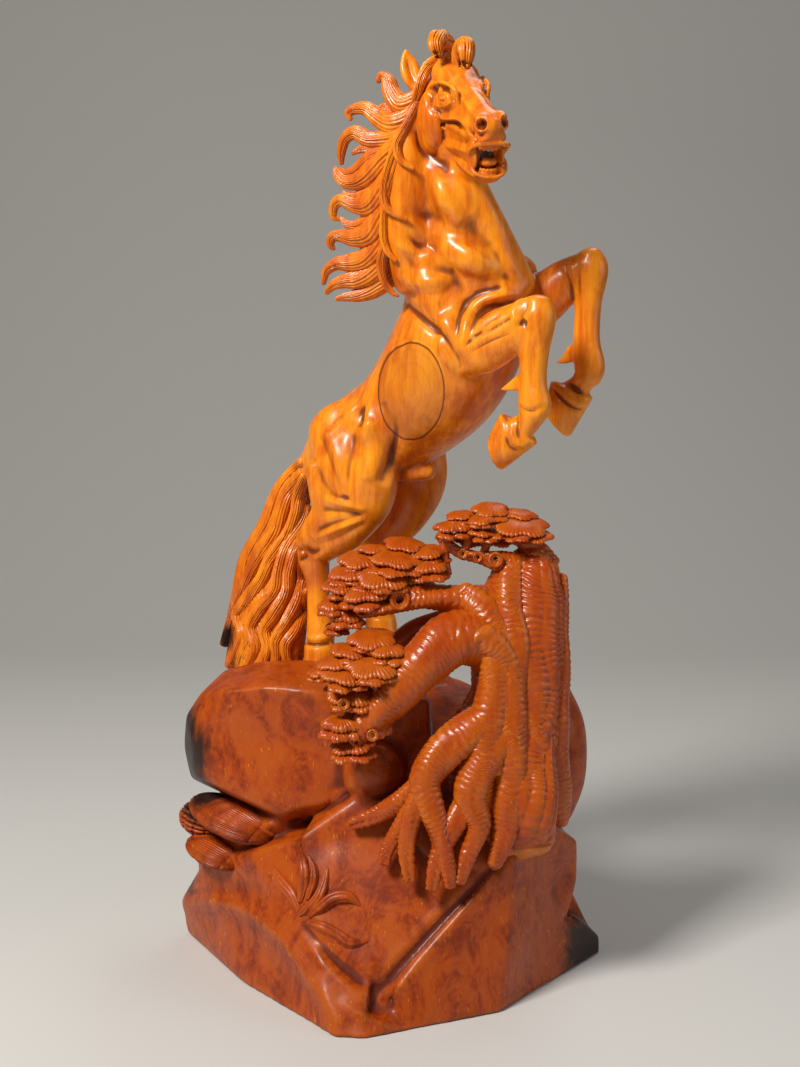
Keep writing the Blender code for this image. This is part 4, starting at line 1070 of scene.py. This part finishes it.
def pine_forms():
    """The old pine: trunk, buttress roots, two low branches and the bent top."""
    trunk = [
        (92, -74, 152, 56, 34), (91, -76, 188, 60, 36), (93, -76, 222, 58, 36), (98, -74, 246, 54, 35),
        (105, -72, 264, 48, 34), (110, -69, 285, 44, 33), (111, -67, 316, 45, 33), (111, -64, 347, 46, 31),
        (116, -60, 375, 42, 28), (120, -58, 394, 36, 24), (125, -56, 409, 28, 19), (128, -55, 420, 18, 13),
    ]
    upper = [(137, -55, 409, 14, 12), (127, -55, 426, 10, 9), (113, -55, 435, 8, 7), (94, -55, 439, 8, 5)]
    lower = [
        (137, -55, 396, 20, 18), (117, -57, 406, 16, 14), (100, -60, 413, 11, 11), (89, -62, 416, 9, 9),
        (73, -60, 419, 6, 5), (59, -58, 422, 5, 5), (47, -56, 429, 5, 5), (38, -54, 439, 6, 5),
    ]
    high = [
        (102, -62, 364, 28, 24), (70, -66, 375, 19, 18), (38, -70, 381, 13.5, 12), (9, -74, 381, 12, 11),
        (-14, -74, 375, 10, 9), (-35, -72, 370, 8, 6),
    ]
    low = [
        (102, -72, 332, 32, 34), (71, -84, 346, 27, 27), (43, -94, 343, 25, 25), (20, -102, 324, 22.5, 22),
        (-2, -108, 300, 19, 19), (-24, -112, 278, 15, 15), (-44, -115, 258, 10, 10),
    ]
    back = [(-8, -60, 333, 9, 8), (14, -50, 348, 10, 8), (43, -45, 357, 10, 9)]
    twigs = [
        [(59, -58, 422, 4, 4), (64, -58, 433, 4, 4), (62, -56, 445, 4, 4)],
        [(77, -60, 419, 4, 4), (82, -60, 432, 4, 4), (81, -58, 446, 4, 4)],
        [(47, -56, 428, 4, 4), (44, -56, 437, 4, 4), (47, -56, 447, 4, 4)],
        [(42, -54, 434, 5, 5), (42, -56, 415, 5, 5), (45, -60, 402, 4, 4)],
    ]
    roots = [
        [
            (104, -92, 283, 18.8, 17.2), (68, -106, 265, 18.8, 17.2), (37, -116, 243, 17.5, 16.1),
            (23, -122, 221, 15.0, 13.8), (27, -128, 198, 12.5, 11.5), (37, -134, 171, 10.0, 9.2),
            (43, -138, 143, 7.5, 6.9), (45, -140, 126, 5.0, 4.6),
        ],
        [
            (26, -122, 215, 11.2, 10.3), (12, -126, 192, 10.0, 9.2), (6, -130, 159, 7.5, 6.9),
            (8, -136, 131, 5.0, 4.6),
        ],
        [
            (26, -118, 219, 11.2, 10.3), (-2, -114, 197, 10.0, 9.2), (-23, -108, 183, 7.5, 6.9),
            (-45, -102, 173, 5.0, 4.6),
        ],
        [
            (20, -120, 205, 10.0, 9.2), (2, -120, 178, 8.8, 8.0), (-11, -122, 156, 6.2, 5.8),
            (-15, -124, 143, 5.0, 4.6),
        ],
        [
            (93, -100, 262, 18.8, 17.2), (74, -114, 232, 17.5, 16.1), (64, -122, 205, 15.0, 13.8),
            (71, -126, 178, 11.2, 10.3), (61, -132, 150, 7.5, 6.9), (54, -136, 129, 5.0, 4.6),
        ],
        [
            (107, -100, 233, 17.5, 16.1), (100, -112, 199, 16.2, 14.9), (96, -116, 169, 11.2, 10.3),
            (86, -122, 141, 7.5, 6.9),
        ],
        [
            (129, -88, 230, 16.2, 14.9), (127, -96, 194, 13.8, 12.6), (123, -100, 171, 10.0, 9.2),
            (116, -104, 156, 6.2, 5.8),
        ],
        [(147, -74, 221, 13.8, 12.6), (148, -78, 190, 11.2, 10.3), (152, -78, 169, 6.2, 5.8)],
        [
            (63, -120, 201, 11.2, 10.3), (46, -130, 176, 10.0, 9.2), (34, -136, 149, 7.5, 6.9),
            (28, -140, 124, 5.0, 4.6),
        ],
    ]
    ribs = [
        [
            (132, -61, 419, 8.8, 8), (125, -75, 389, 12.1, 11), (120, -87, 344, 14.3, 13),
            (122, -92, 288, 15.4, 14), (128, -95, 232, 16.5, 15), (131, -97, 194, 13.2, 12),
            (124, -101, 161, 7.7, 7),
        ],
        [
            (105, -67, 411, 8.8, 8), (101, -81, 381, 13.2, 12), (105, -93, 341, 15.4, 14),
            (101, -99, 290, 16.5, 15), (103, -105, 235, 17.6, 16), (98, -109, 192, 14.3, 13),
            (92, -114, 155, 8.8, 8), (86, -118, 136, 4.4, 4),
        ],
        [
            (58, -73, 387, 9.9, 9), (78, -85, 370, 14.3, 13), (90, -95, 338, 16.5, 15),
            (86, -101, 296, 16.5, 15), (78, -107, 260, 17.6, 16), (71, -113, 222, 16.5, 15),
            (70, -117, 189, 12.1, 11),
        ],
        [
            (149, -57, 398, 8.8, 8), (147, -71, 360, 11.0, 10), (147, -77, 304, 12.1, 11),
            (144, -81, 247, 14.3, 13), (149, -79, 198, 13.2, 12), (153, -75, 166, 7.7, 7),
        ],
        [
            (48, -95, 346, 13.2, 12), (79, -99, 347, 15.4, 14), (98, -99, 320, 14.3, 13),
            (95, -103, 272, 13.2, 12), (87, -111, 227, 12.1, 11),
        ],
    ]
    apron = [
        (106, -60, 300, 34, 14), (98, -74, 261, 50, 20), (88, -84, 223, 62, 24), (85, -90, 186, 64, 26),
        (84, -80, 156, 50, 20),
    ]
    across = (0.9, -0.4, 0)
    stem = bark(5.6, 1.6, 3, 1.4)
    upper_forms = [loft(trunk, side=across, sides=150, per_span=30, relief=bark(6.2, 2.0, 11, 3.0))]
    upper_forms += [loft(s, side=across, sides=40, per_span=36, relief=stem) for s in ribs]
    upper_forms += [loft(s, side=across, sides=76, per_span=30, relief=stem) for s in (high, low)]
    upper_forms += [loft(s, side=across, sides=56, per_span=20, relief=stem) for s in (upper, lower)]
    upper_forms += [loft(s, side=across, sides=32) for s in (back, *twigs)]
    for place, radius, thick in KNOTS:
        upper_forms.append(ring(circle(place, radius, (0.1, -1, 0.15)), thick))
    root_forms = [loft(s, side=across, sides=40, per_span=28, relief=stem) for s in roots]
    root_forms.append(loft(apron, side=across, sides=200, per_span=26, relief=bark(6.2, 1.6, 17, 4.0)))
    return upper_forms, root_forms


def pine_strokes():
    """The mouths of the knot holes."""
    return [(np.array([place, np.add(place, (0.3, 0, 0))]), radius * 0.8, -8.0) for place, radius, _ in KNOTS]


def scallop(centre, wide, deep, thick, turn, rays):
    """One plate of needles: a lens that leans to the front, with rays and a notched rim.

    Radius share r(p) = sin(p)^0.55, less 0.16 |sin(2.5 t + turn)|^4 for the lobes, height cos p, p from
    pole to pole; along each ray both faces are grooved by 1 - |cos(rays t / 2)|.
    """
    polar = np.linspace(0.10, math.pi - 0.10, 13)[:, None]
    angle = np.linspace(0, 2 * math.pi, rays * 4, endpoint=False)[None, :]
    ray = 1 - np.abs(np.cos(0.5 * rays * angle))
    lobes = 1 - 0.16 * np.abs(np.sin(2.5 * angle + turn)) ** 4 - 0.06 * ray
    rim = np.sin(polar) ** 0.55 * lobes
    height = -np.cos(polar) * thick * (1 - 0.5 * ray * rim)
    lean = rim * (0.24 * deep * np.sin(angle) + 0.10 * wide * np.cos(angle - turn))
    x = centre[0] + wide * rim * np.cos(angle)
    y = centre[1] + deep * rim * np.sin(angle)
    z = centre[2] + height + lean - 0.10 * wide * rim**2
    return skin(np.stack([x, y, z], axis=-1))


def cushion_forms():
    """Cushions of pine needles: flat, overlapping scallops on the branch ends."""
    scallops = [
        (57, -52, 458, 15, 5), (85, -54, 464, 19, 6), (113, -52, 459, 18, 6), (50, -58, 448, 20, 8),
        (76, -66, 455, 14, 6), (112, -62, 451, 30, 7), (77, -66, 443, 15, 6), (117, -52, 441, 16, 6),
        (88, -36, 447, 34, 8), (4, -52, 431, 21, 6), (-24, -54, 426, 18, 6), (24, -56, 424, 22, 7),
        (-38, -58, 417, 22, 7), (-4, -68, 419, 26, 8), (26, -68, 411, 20, 9), (-47, -64, 406, 22, 8),
        (-17, -74, 403, 28, 10), (-56, -70, 392, 20, 8), (-32, -78, 388, 26, 10), (-64, -76, 376, 14, 8),
        (-51, -74, 367, 18, 9), (-58, -72, 355, 12, 7), (-5, -48, 404, 40, 14), (-26, -96, 349, 24, 7),
        (-46, -100, 338, 20, 7), (-13, -106, 339, 20, 9), (-60, -106, 328, 18, 7), (-26, -114, 327, 27, 9),
        (-50, -114, 318, 24, 8), (-73, -108, 318, 13, 6), (-33, -88, 330, 32, 12), (-46, -108, 300, 26, 9),
        (-54, -118, 273, 19, 11), (-44, -114, 252, 22, 8), (-31, -104, 276, 24, 16),
    ]
    forms = []
    for index, (x, y, z, wide, thick) in enumerate(scallops):
        rays = max(18, int(wide * 1.35))
        forms.append(scallop((x, y, z), wide, wide * 0.8, thick * 0.5, index * 1.7, rays))
        for step in range(3):
            way = -1.25 + 1.15 * (step - 1) + 0.5 * math.sin(index * 2.3)
            small = wide * (0.50 + 0.08 * math.sin(index + step))
            reach = (0.62 * wide * math.cos(way), 0.5 * wide * math.sin(way))
            spot = (x + reach[0], y + reach[1], z - 0.30 * wide - 0.3 * thick)
            rays = max(12, int(small * 1.5))
            forms.append(scallop(spot, small, small * 0.8, thick * 0.36, index + step, rays))
    return forms


# Materials


class Field:
    """A number in a material's node tree. Arithmetic on it adds Math nodes."""

    def __init__(self, net, socket):
        self.net = net
        self.socket = socket

    def __add__(self, other):
        return self.net.math("ADD", self, other)

    def __sub__(self, other):
        return self.net.math("SUBTRACT", self, other)

    def __rsub__(self, other):
        return self.net.math("SUBTRACT", other, self)

    def __mul__(self, other):
        return self.net.math("MULTIPLY", self, other)

    def __truediv__(self, other):
        return self.net.math("DIVIDE", self, other)

    def __pow__(self, other):
        return self.net.math("POWER", self, other)

    __radd__ = __add__
    __rmul__ = __mul__


class Net:
    """The node tree of one material."""

    def __init__(self, material):
        material.use_nodes = True
        self.tree = material.node_tree
        self.shader = self.tree.nodes["Principled BSDF"]

    def node(self, kind, settings=None, **inputs):
        """Any node: its type, its settings, and values or links for its inputs by name."""
        made = self.tree.nodes.new(kind)
        for key, value in (settings or {}).items():
            setattr(made, key, value)
        for key, value in inputs.items():
            self.feed(made.inputs[key.replace("_", " ")], value)
        return made

    def feed(self, socket, value):
        """Links a field or socket, or sets a value."""
        if isinstance(value, Field):
            self.tree.links.new(value.socket, socket)
        elif isinstance(value, bpy.types.NodeSocket):
            self.tree.links.new(value, socket)
        else:
            socket.default_value = value

    def math(self, operation, *values):
        """One Math node on fields or numbers."""
        made = self.node("ShaderNodeMath", {"operation": operation})
        for socket, value in zip(made.inputs, values):
            self.feed(socket, value)
        return Field(self, made.outputs[0])

    def clamp(self, value, low, high):
        """Value mapped from low..high to 0..1 and held there."""
        made = self.node("ShaderNodeMapRange", {"interpolation_type": "SMOOTHSTEP"}, Value=value)
        made.inputs["From Min"].default_value = low
        made.inputs["From Max"].default_value = high
        return Field(self, made.outputs[0])

    def place(self, scale, shift=(0, 0, 0)):
        """Object coordinates times scale plus shift."""
        made = self.node("ShaderNodeMapping", {"vector_type": "POINT"}, Vector=self.coordinates())
        made.inputs["Scale"].default_value = scale
        made.inputs["Location"].default_value = shift
        return made.outputs[0]

    def coordinates(self):
        """The coordinates of the object itself."""
        return self.node("ShaderNodeTexCoord").outputs["Object"]

    def noise(self, vector, scale, detail, roughness=0.55, distortion=0.0):
        """A noise between 0 and 1."""
        made = self.node(
            "ShaderNodeTexNoise", None, Vector=vector, Scale=scale, Detail=detail, Roughness=roughness,
            Distortion=distortion,
        )
        return Field(self, made.outputs["Fac"])

    def mix(self, factor, first, second):
        """A colour between two."""
        made = self.node("ShaderNodeMix", {"data_type": "RGBA"})
        self.feed(made.inputs[0], factor)
        self.feed(made.inputs[6], first)
        self.feed(made.inputs[7], second)
        return made.outputs[2]

    def parts(self, vector):
        """A vector's three numbers."""
        made = self.node("ShaderNodeSeparateXYZ", None, Vector=vector)
        return [Field(self, made.outputs[k]) for k in range(3)]


# The grey-brown inside a knot's figure, the line round it, and near-black sapwood, also the mouth's painted
# shade
OVAL_FACE = (0.36, 0.13, 0.016, 1)
OVAL_LINE = (0.07, 0.016, 0.004, 1)
SAPWOOD_AND_MOUTH_SHADE = (0.022, 0.006, 0.003, 1)


def wood(name, look, dark=(), oval=None, burl=0.0, red=0.0, wrinkles=0.0):
    """Lacquered hardwood: streaks along the log, blots, growth rings, painted shade in hollows, painted ridge
    highlights.

    oval holds the x, z and half widths in millimetres of a knot's ring figure on the near side, dark the
    centres and radii of near-black patches, which are sapwood on rocks and hair and painted shade in the
    mouth; burl turns streaks into swirls, red deepens the colour, and wrinkles is the height of the bark's
    fine ridges.
    """
    material = bpy.data.materials.new(name)
    net = Net(material)
    point = net.coordinates()
    x, y, z = net.parts(point)
    wander = net.noise(point, 7.0, 2.0)
    streak = net.noise(net.place((130, 130, 9)), 1.0, 5.0, 0.62, 0.4)
    fine = net.noise(net.place((900, 900, 60)), 1.0, 3.0, 0.6)
    blots = net.noise(net.place((19, 19, 13)), 1.0, 6.0, 0.60, look.swirl + 1.5 * burl)
    swirl = net.noise(net.place((60, 60, 46)), 1.0, 6.0, 0.66, 2.0)
    grain = streak * (1 - 0.7 * burl) + swirl * (0.7 * burl)
    tone = net.clamp(0.40 * grain + 0.50 * blots + 0.10 * fine, 0.33, 0.62)
    base = net.mix(tone, (*look.deep, 1), (*look.warm, 1))
    base = net.mix(net.clamp(0.6 * blots + 0.4 * grain + 0.1 * fine, 0.46, 0.80) * 0.6, base, (*look.light, 1))
    if oval is not None:
        across = (x - (oval[0] - CENTRE[0]) * MM) / (oval[2] * MM)
        along = (z - oval[1] * MM) / (oval[3] * MM)
        radius = (across * across + along * along) ** 0.5 + (wander - 0.5) * 0.22 + (streak - 0.5) * 0.05
        rings = net.math("SINE", radius * 24.0)
        side = net.clamp(y, 0.015, -0.005)
        near = net.clamp(radius, 2.1, 0.7) * side
        base = net.mix(net.clamp(rings, 0.4, 1.0) * near * 0.16, base, (*look.deep, 1))
        edge = net.clamp(net.math("ABSOLUTE", radius - 1.0), 0.035, 0.008) * side
        inside = net.clamp(radius, 1.02, 0.97) * side
        base = net.mix(inside * 0.30, base, OVAL_FACE)
        base = net.mix(edge * 0.85, base, OVAL_LINE)
    if red:
        base = net.mix(red, base, (*look.russet, 1))
    if burl:
        scratch = net.noise(net.place((520, 90, 150), (0.3, 0, 0)), 1.0, 2.0, 0.5, 0.6)
        base = net.mix(net.clamp(scratch, 0.66, 0.74) * 0.35 * burl, base, (*look.light, 1))
        base = net.mix(net.clamp(swirl * 0.4 + blots * 0.6, 0.54, 0.36) * 0.6 * burl, base, (*look.shade, 1))
    hollow = net.node("ShaderNodeAttribute", {"attribute_name": "hollow"}).outputs["Fac"]
    # Painted shade: creases are darkened towards the shade colour
    base = net.mix(net.clamp(hollow, 0.3, 3.5) * look.hollow_shade, base, (*look.shade, 1))
    # Painted highlight: ridges are lightened towards the light colour, less on burl
    base = net.mix(net.clamp(hollow, -0.8, -4.0) * (0.22 - 0.18 * burl), base, (*look.light, 1))
    # Near-black patches: sapwood where the wood has it, and painted shade inside the mouth
    for cx, cy, cz, reach in dark:
        offset = net.node("ShaderNodeVectorMath", {"operation": "DISTANCE"}, Vector=point)
        offset.inputs[1].default_value = (np.array((cx, cy, cz)) - CENTRE) * MM
        gap = Field(net, offset.outputs["Value"]) / (reach * MM) + (blots - 0.5) * 1.4 + (streak - 0.5) * 0.5
        base = net.mix(net.clamp(gap, 1.5, 0.7), base, SAPWOOD_AND_MOUTH_SHADE)
    net.feed(net.shader.inputs["Base Color"], base)
    rough = 0.30 + 0.12 * burl + 0.22 * net.clamp(fine, 0.45, 0.7) + 0.14 * net.clamp(hollow, 0.5, 4.0)
    net.feed(net.shader.inputs["Roughness"], rough)
    net.shader.inputs["Coat Weight"].default_value = look.coat * (1 - 0.5 * burl)
    net.shader.inputs["Coat Roughness"].default_value = 0.20
    net.shader.inputs["Specular IOR Level"].default_value = 0.25
    height = grain * 0.5 + fine * 0.35 + blots * 0.4
    if wrinkles:
        height = height + net.noise(net.place((70, 70, 330)), 1.0, 3.0, 0.6, 1.2) * wrinkles
    bump = net.node("ShaderNodeBump", None, Height=height)
    bump.inputs["Strength"].default_value = 0.3
    bump.inputs["Distance"].default_value = 0.0006
    net.feed(net.shader.inputs["Normal"], bump.outputs["Normal"])
    return material


# Settings


def colour_setting(name, description, default):
    """A colour that a user may change."""
    return FloatVectorProperty(
        name=name, description=description, default=default, subtype="COLOR", min=0, max=1
    )


class WoodLook(bpy.types.PropertyGroup):
    """The colours and figure of the lacquered wood, and its painted shade and highlights."""

    warm: colour_setting("Warm", "The usual colour of the polished wood", (0.84, 0.215, 0.005))
    # Light: pale streaks, and the painted highlight on ridges
    light: colour_setting("Light", "Streaks, and painted highlights on ridges", (1.0, 0.42, 0.018))
    deep: colour_setting("Deep", "Ring lines and dark streaks", (0.50, 0.085, 0.003))
    # Shade: the colour of the painted shade in hollows, and of the dark burl swirls
    shade: colour_setting("Shade", "Painted shade in the hollows, and dark burl swirls", (0.085, 0.008, 0.001))
    russet: colour_setting("Russet", "The redder heartwood of rocks and pine", (0.33, 0.030, 0.001))
    swirl: FloatProperty(name="Swirl", description="How much the blots swirl", default=0.8, min=0)
    # How strongly the hollows are painted with shade
    hollow_shade: FloatProperty(
        name="Hollow shade", description="Strength of the shade in hollows", default=0.85, min=0, max=1
    )
    coat: FloatProperty(name="Lacquer", description="Weight of the clear coat", default=0.35, min=0, max=1)


class BuildSizes(bpy.types.PropertyGroup):
    """How fine each piece is made, in millimetres."""

    body_grid: FloatProperty(
        name="Body grid", description="Voxel size of the horse's body", default=1.5, min=0.5
    )
    head_grid: FloatProperty(
        name="Head grid", description="Voxel size of the head", default=0.8, min=0.4
    )
    rock_grid: FloatProperty(
        name="Rock grid", description="Voxel size of the rocks", default=2.2, min=0.5
    )
    strand: FloatProperty(name="Hair groove", description="Depth of a hair groove", default=1.1, min=0)


def settings():
    """The sizes and the colours of the open scene."""
    return bpy.context.scene.statue_sizes, bpy.context.scene.statue_look


# Operators


class STATUE_OT_horse(bpy.types.Operator):
    """Builds the horse's body and legs."""

    bl_idname = "statue.horse"
    bl_label = "Horse"

    def execute(self, context):
        sizes, look = settings()
        clay = Clay(united("horse", horse_forms(), sizes.body_grid))
        clay.soften(6).fill(45).soften(3)
        clay.stroke(horse_strokes()).soften(2)
        finish_piece("horse", clay, wood("horse_wood", look, oval=(10, 572, 31, 46)))
        return {"FINISHED"}


class STATUE_OT_head(bpy.types.Operator):
    """Builds the head and the ears."""

    bl_idname = "statue.head"
    bl_label = "Head"

    def execute(self, context):
        sizes, look = settings()
        clay = Clay(united("head", head_forms() + ear_forms(), sizes.head_grid))
        clay.soften(3).fill(26).soften(1)
        for sign in (-1, 1):
            clay.stroke(head_strokes(sign), head_eye(sign), 70)
        clay.soften(1)
        # Painted shade: the inside of the open mouth is painted near black
        mouth = head_place([(98, 0, -43)])[0]
        finish_piece("head", clay, wood("head_wood", look, dark=[(*mouth, 6)]))
        return {"FINISHED"}


class STATUE_OT_hair(bpy.types.Operator):
    """Builds the mane, the forelock and the tail."""

    bl_idname = "statue.hair"
    bl_label = "Hair"

    def execute(self, context):
        sizes, look = settings()
        material = wood("hair_wood", look, dark=[(-174, 108, 306, 16)], red=0.12)
        crest, locks = mane_locks()
        forms = [loft(crest, sides=150, per_span=16, relief=hair(44, sizes.strand))]
        for lock in locks:
            forms.append(loft(lock, sides=96, per_span=10, cap=0.8, relief=hair(22, sizes.strand, 0.5)))
        for lock in forelock_locks():
            curled = hair(20, 1.5 * sizes.strand, 0.8, 40)
            forms.append(loft(lock, sides=96, per_span=10, cap=0.8, relief=curled))
        clay = Clay(mesh_of("mane", forms)).stroke(curl_strokes(), reach=9)
        finish_piece("mane", clay, material)
        fall, locks = tail_locks()
        loose = hair(20, 1.2 * sizes.strand, 0.6)
        forms = [loft(fall, sides=200, per_span=16, relief=hair(60, 1.5 * sizes.strand, 1.6, 95.0))]
        forms += [loft(lock, sides=96, per_span=16, relief=loose) for lock in locks]
        finish_piece("tail", Clay(mesh_of("tail", forms)), material)
        return {"FINISHED"}


class STATUE_OT_pine(bpy.types.Operator):
    """Builds the pine and its needle cushions."""

    bl_idname = "statue.pine"
    bl_label = "Pine"

    def execute(self, context):
        material = wood("pine_wood", settings()[1], red=0.78, wrinkles=1.6)
        top, roots = pine_forms()
        finish_piece("pine", Clay(mesh_of("pine", top)).stroke(pine_strokes()), material)
        finish_piece("pine_roots", Clay(mesh_of("pine_roots", roots)), material)
        finish_piece("needles", Clay(mesh_of("needles", cushion_forms())), material)
        return {"FINISHED"}


class STATUE_OT_rocks(bpy.types.Operator):
    """Builds the boulder and the rock base."""

    bl_idname = "statue.rocks"
    bl_label = "Rocks"

    def execute(self, context):
        sizes, look = settings()
        clay = Clay(united("rocks", rock_forms(), sizes.rock_grid))
        clay.soften(10).fill(8).stroke(rock_strokes()).soften(4)
        clay.points[:, 2] = np.maximum(clay.points[:, 2], 0)
        dark = [
            (-205, 0, 222, 34), (-200, 0, 190, 30), (-196, 40, 250, 34), (200, -10, 18, 42),
            (-206, 20, 150, 16), (-226, 40, 70, 16),
        ]
        material = wood("rock_wood", look, dark, burl=1.0, red=0.84)
        finish_piece("rocks", clay, material)
        finish_piece("pads", Clay(mesh_of("pads", pad_forms())), material)
        finish_piece("grass", Clay(mesh_of("grass", grass_forms())), material)
        return {"FINISHED"}


# The floor: how far it reaches, half its width, and the radius of its sweep up to the wall, in metres
FLOOR_REACH = 6.0
FLOOR_HALF = 8.0
SWEEP = 1.5
# Each light: its name, place, size in metres, power in watts and tint
LIGHTS = (
    ("key", (-1.1, -1.3, 2.0), 0.6, 66.0, (1, 0.96, 0.90)),
    ("fill", (1.8, -0.7, 1.0), 1.2, 6.0, (0.92, 0.96, 1)),
    ("top", (0.5, 0.7, 2.2), 0.9, 8.0, (1, 0.98, 0.95)),
)
LIT = (0.0, 0.0, 0.45)


def add_floor():
    """The floor that curves up into a wall behind the statue."""
    bend = np.linspace(0, math.pi / 2, 17)
    depth = np.concatenate([[-FLOOR_REACH], SWEEP + SWEEP * np.sin(bend), [2 * SWEEP]])
    height = np.concatenate([[0], SWEEP - SWEEP * np.cos(bend), [FLOOR_REACH]])
    wide = np.array([-FLOOR_HALF, FLOOR_HALF])
    points = np.stack(np.broadcast_arrays(wide[None, :], depth[:, None], height[:, None]), axis=-1)
    first = np.arange(len(depth) - 1)[:, None] * 2
    mesh = bpy.data.meshes.new("floor")
    mesh.from_pydata(points.reshape(-1, 3).tolist(), [], (first + np.array([[0, 1, 3, 2]])).tolist())
    mesh.polygons.foreach_set("use_smooth", np.ones(len(mesh.polygons), bool))
    floor = bpy.data.objects.new("floor", mesh)
    bpy.context.scene.collection.objects.link(floor)
    grey = bpy.data.materials.new("studio_grey")
    grey.use_nodes = True
    shader = grey.node_tree.nodes["Principled BSDF"]
    shader.inputs["Base Color"].default_value = (0.62, 0.61, 0.59, 1)
    shader.inputs["Roughness"].default_value = 0.8
    mesh.materials.append(grey)


def add_light(name, place, size, power, tint):
    """A square studio light that looks at the middle of the statue."""
    data = bpy.data.lights.new(name, "AREA")
    data.size = size
    data.energy = power
    data.color = tint
    lamp = bpy.data.objects.new(name, data)
    lamp.location = place
    aim = np.array(LIT) - np.array(place)
    yaw = math.atan2(aim[1], aim[0]) - math.pi / 2
    pitch = math.atan2(aim[2], math.hypot(aim[0], aim[1]))
    lamp.rotation_euler = (math.pi / 2 + pitch, 0, yaw)
    bpy.context.scene.collection.objects.link(lamp)


class STATUE_OT_stage(bpy.types.Operator):
    """Adds the floor, the lights and the camera."""

    bl_idname = "statue.stage"
    bl_label = "Stage"

    def execute(self, context):
        scene = context.scene
        add_floor()
        for light in LIGHTS:
            add_light(*light)
        world = bpy.data.worlds.new("studio")
        world.use_nodes = True
        back = world.node_tree.nodes["Background"]
        back.inputs["Color"].default_value = (0.72, 0.72, 0.70, 1)
        back.inputs["Strength"].default_value = 0.16
        scene.world = world
        data = bpy.data.cameras.new("camera")
        data.sensor_width = SENSOR
        data.lens = LENS
        camera = bpy.data.objects.new("camera", data)
        camera.location = (EYE - CENTRE) * MM
        camera.rotation_euler = (math.radians(90 - LOOK_DOWN), 0, 0)
        scene.collection.objects.link(camera)
        scene.camera = camera
        scene.view_settings.view_transform = "Standard"
        return {"FINISHED"}


class STATUE_PT_panel(bpy.types.Panel):
    """Lists the steps that build the statue."""

    bl_idname = "STATUE_PT_panel"
    bl_label = "Statue"
    bl_space_type = "VIEW_3D"
    bl_region_type = "UI"
    bl_category = "Statue"

    def draw(self, context):
        """A button for each step, and the sizes and colours below them."""
        for step in STEPS:
            self.layout.operator(step.bl_idname)
        for group in (context.scene.statue_sizes, context.scene.statue_look):
            for key in group.bl_rna.properties.keys():
                if key not in ("rna_type", "name"):
                    self.layout.prop(group, key)


STEPS = (STATUE_OT_rocks, STATUE_OT_horse, STATUE_OT_head, STATUE_OT_hair, STATUE_OT_pine, STATUE_OT_stage)
CLASSES = (BuildSizes, WoodLook, *STEPS, STATUE_PT_panel)


def register():
    """Registers the classes and hangs the settings on the scene."""
    for made in CLASSES:
        bpy.utils.register_class(made)
    bpy.types.Scene.statue_sizes = PointerProperty(type=BuildSizes)
    bpy.types.Scene.statue_look = PointerProperty(type=WoodLook)


def unregister():
    """Takes the settings and the classes away again."""
    del bpy.types.Scene.statue_look
    del bpy.types.Scene.statue_sizes
    for made in reversed(CLASSES):
        bpy.utils.unregister_class(made)


def main():
    """Builds the statue and its stage."""
    register()
    for step in (
        bpy.ops.statue.rocks, bpy.ops.statue.horse, bpy.ops.statue.head, bpy.ops.statue.hair,
        bpy.ops.statue.pine, bpy.ops.statue.stage,
    ):
        step()


if __name__ == "__main__":
    main()
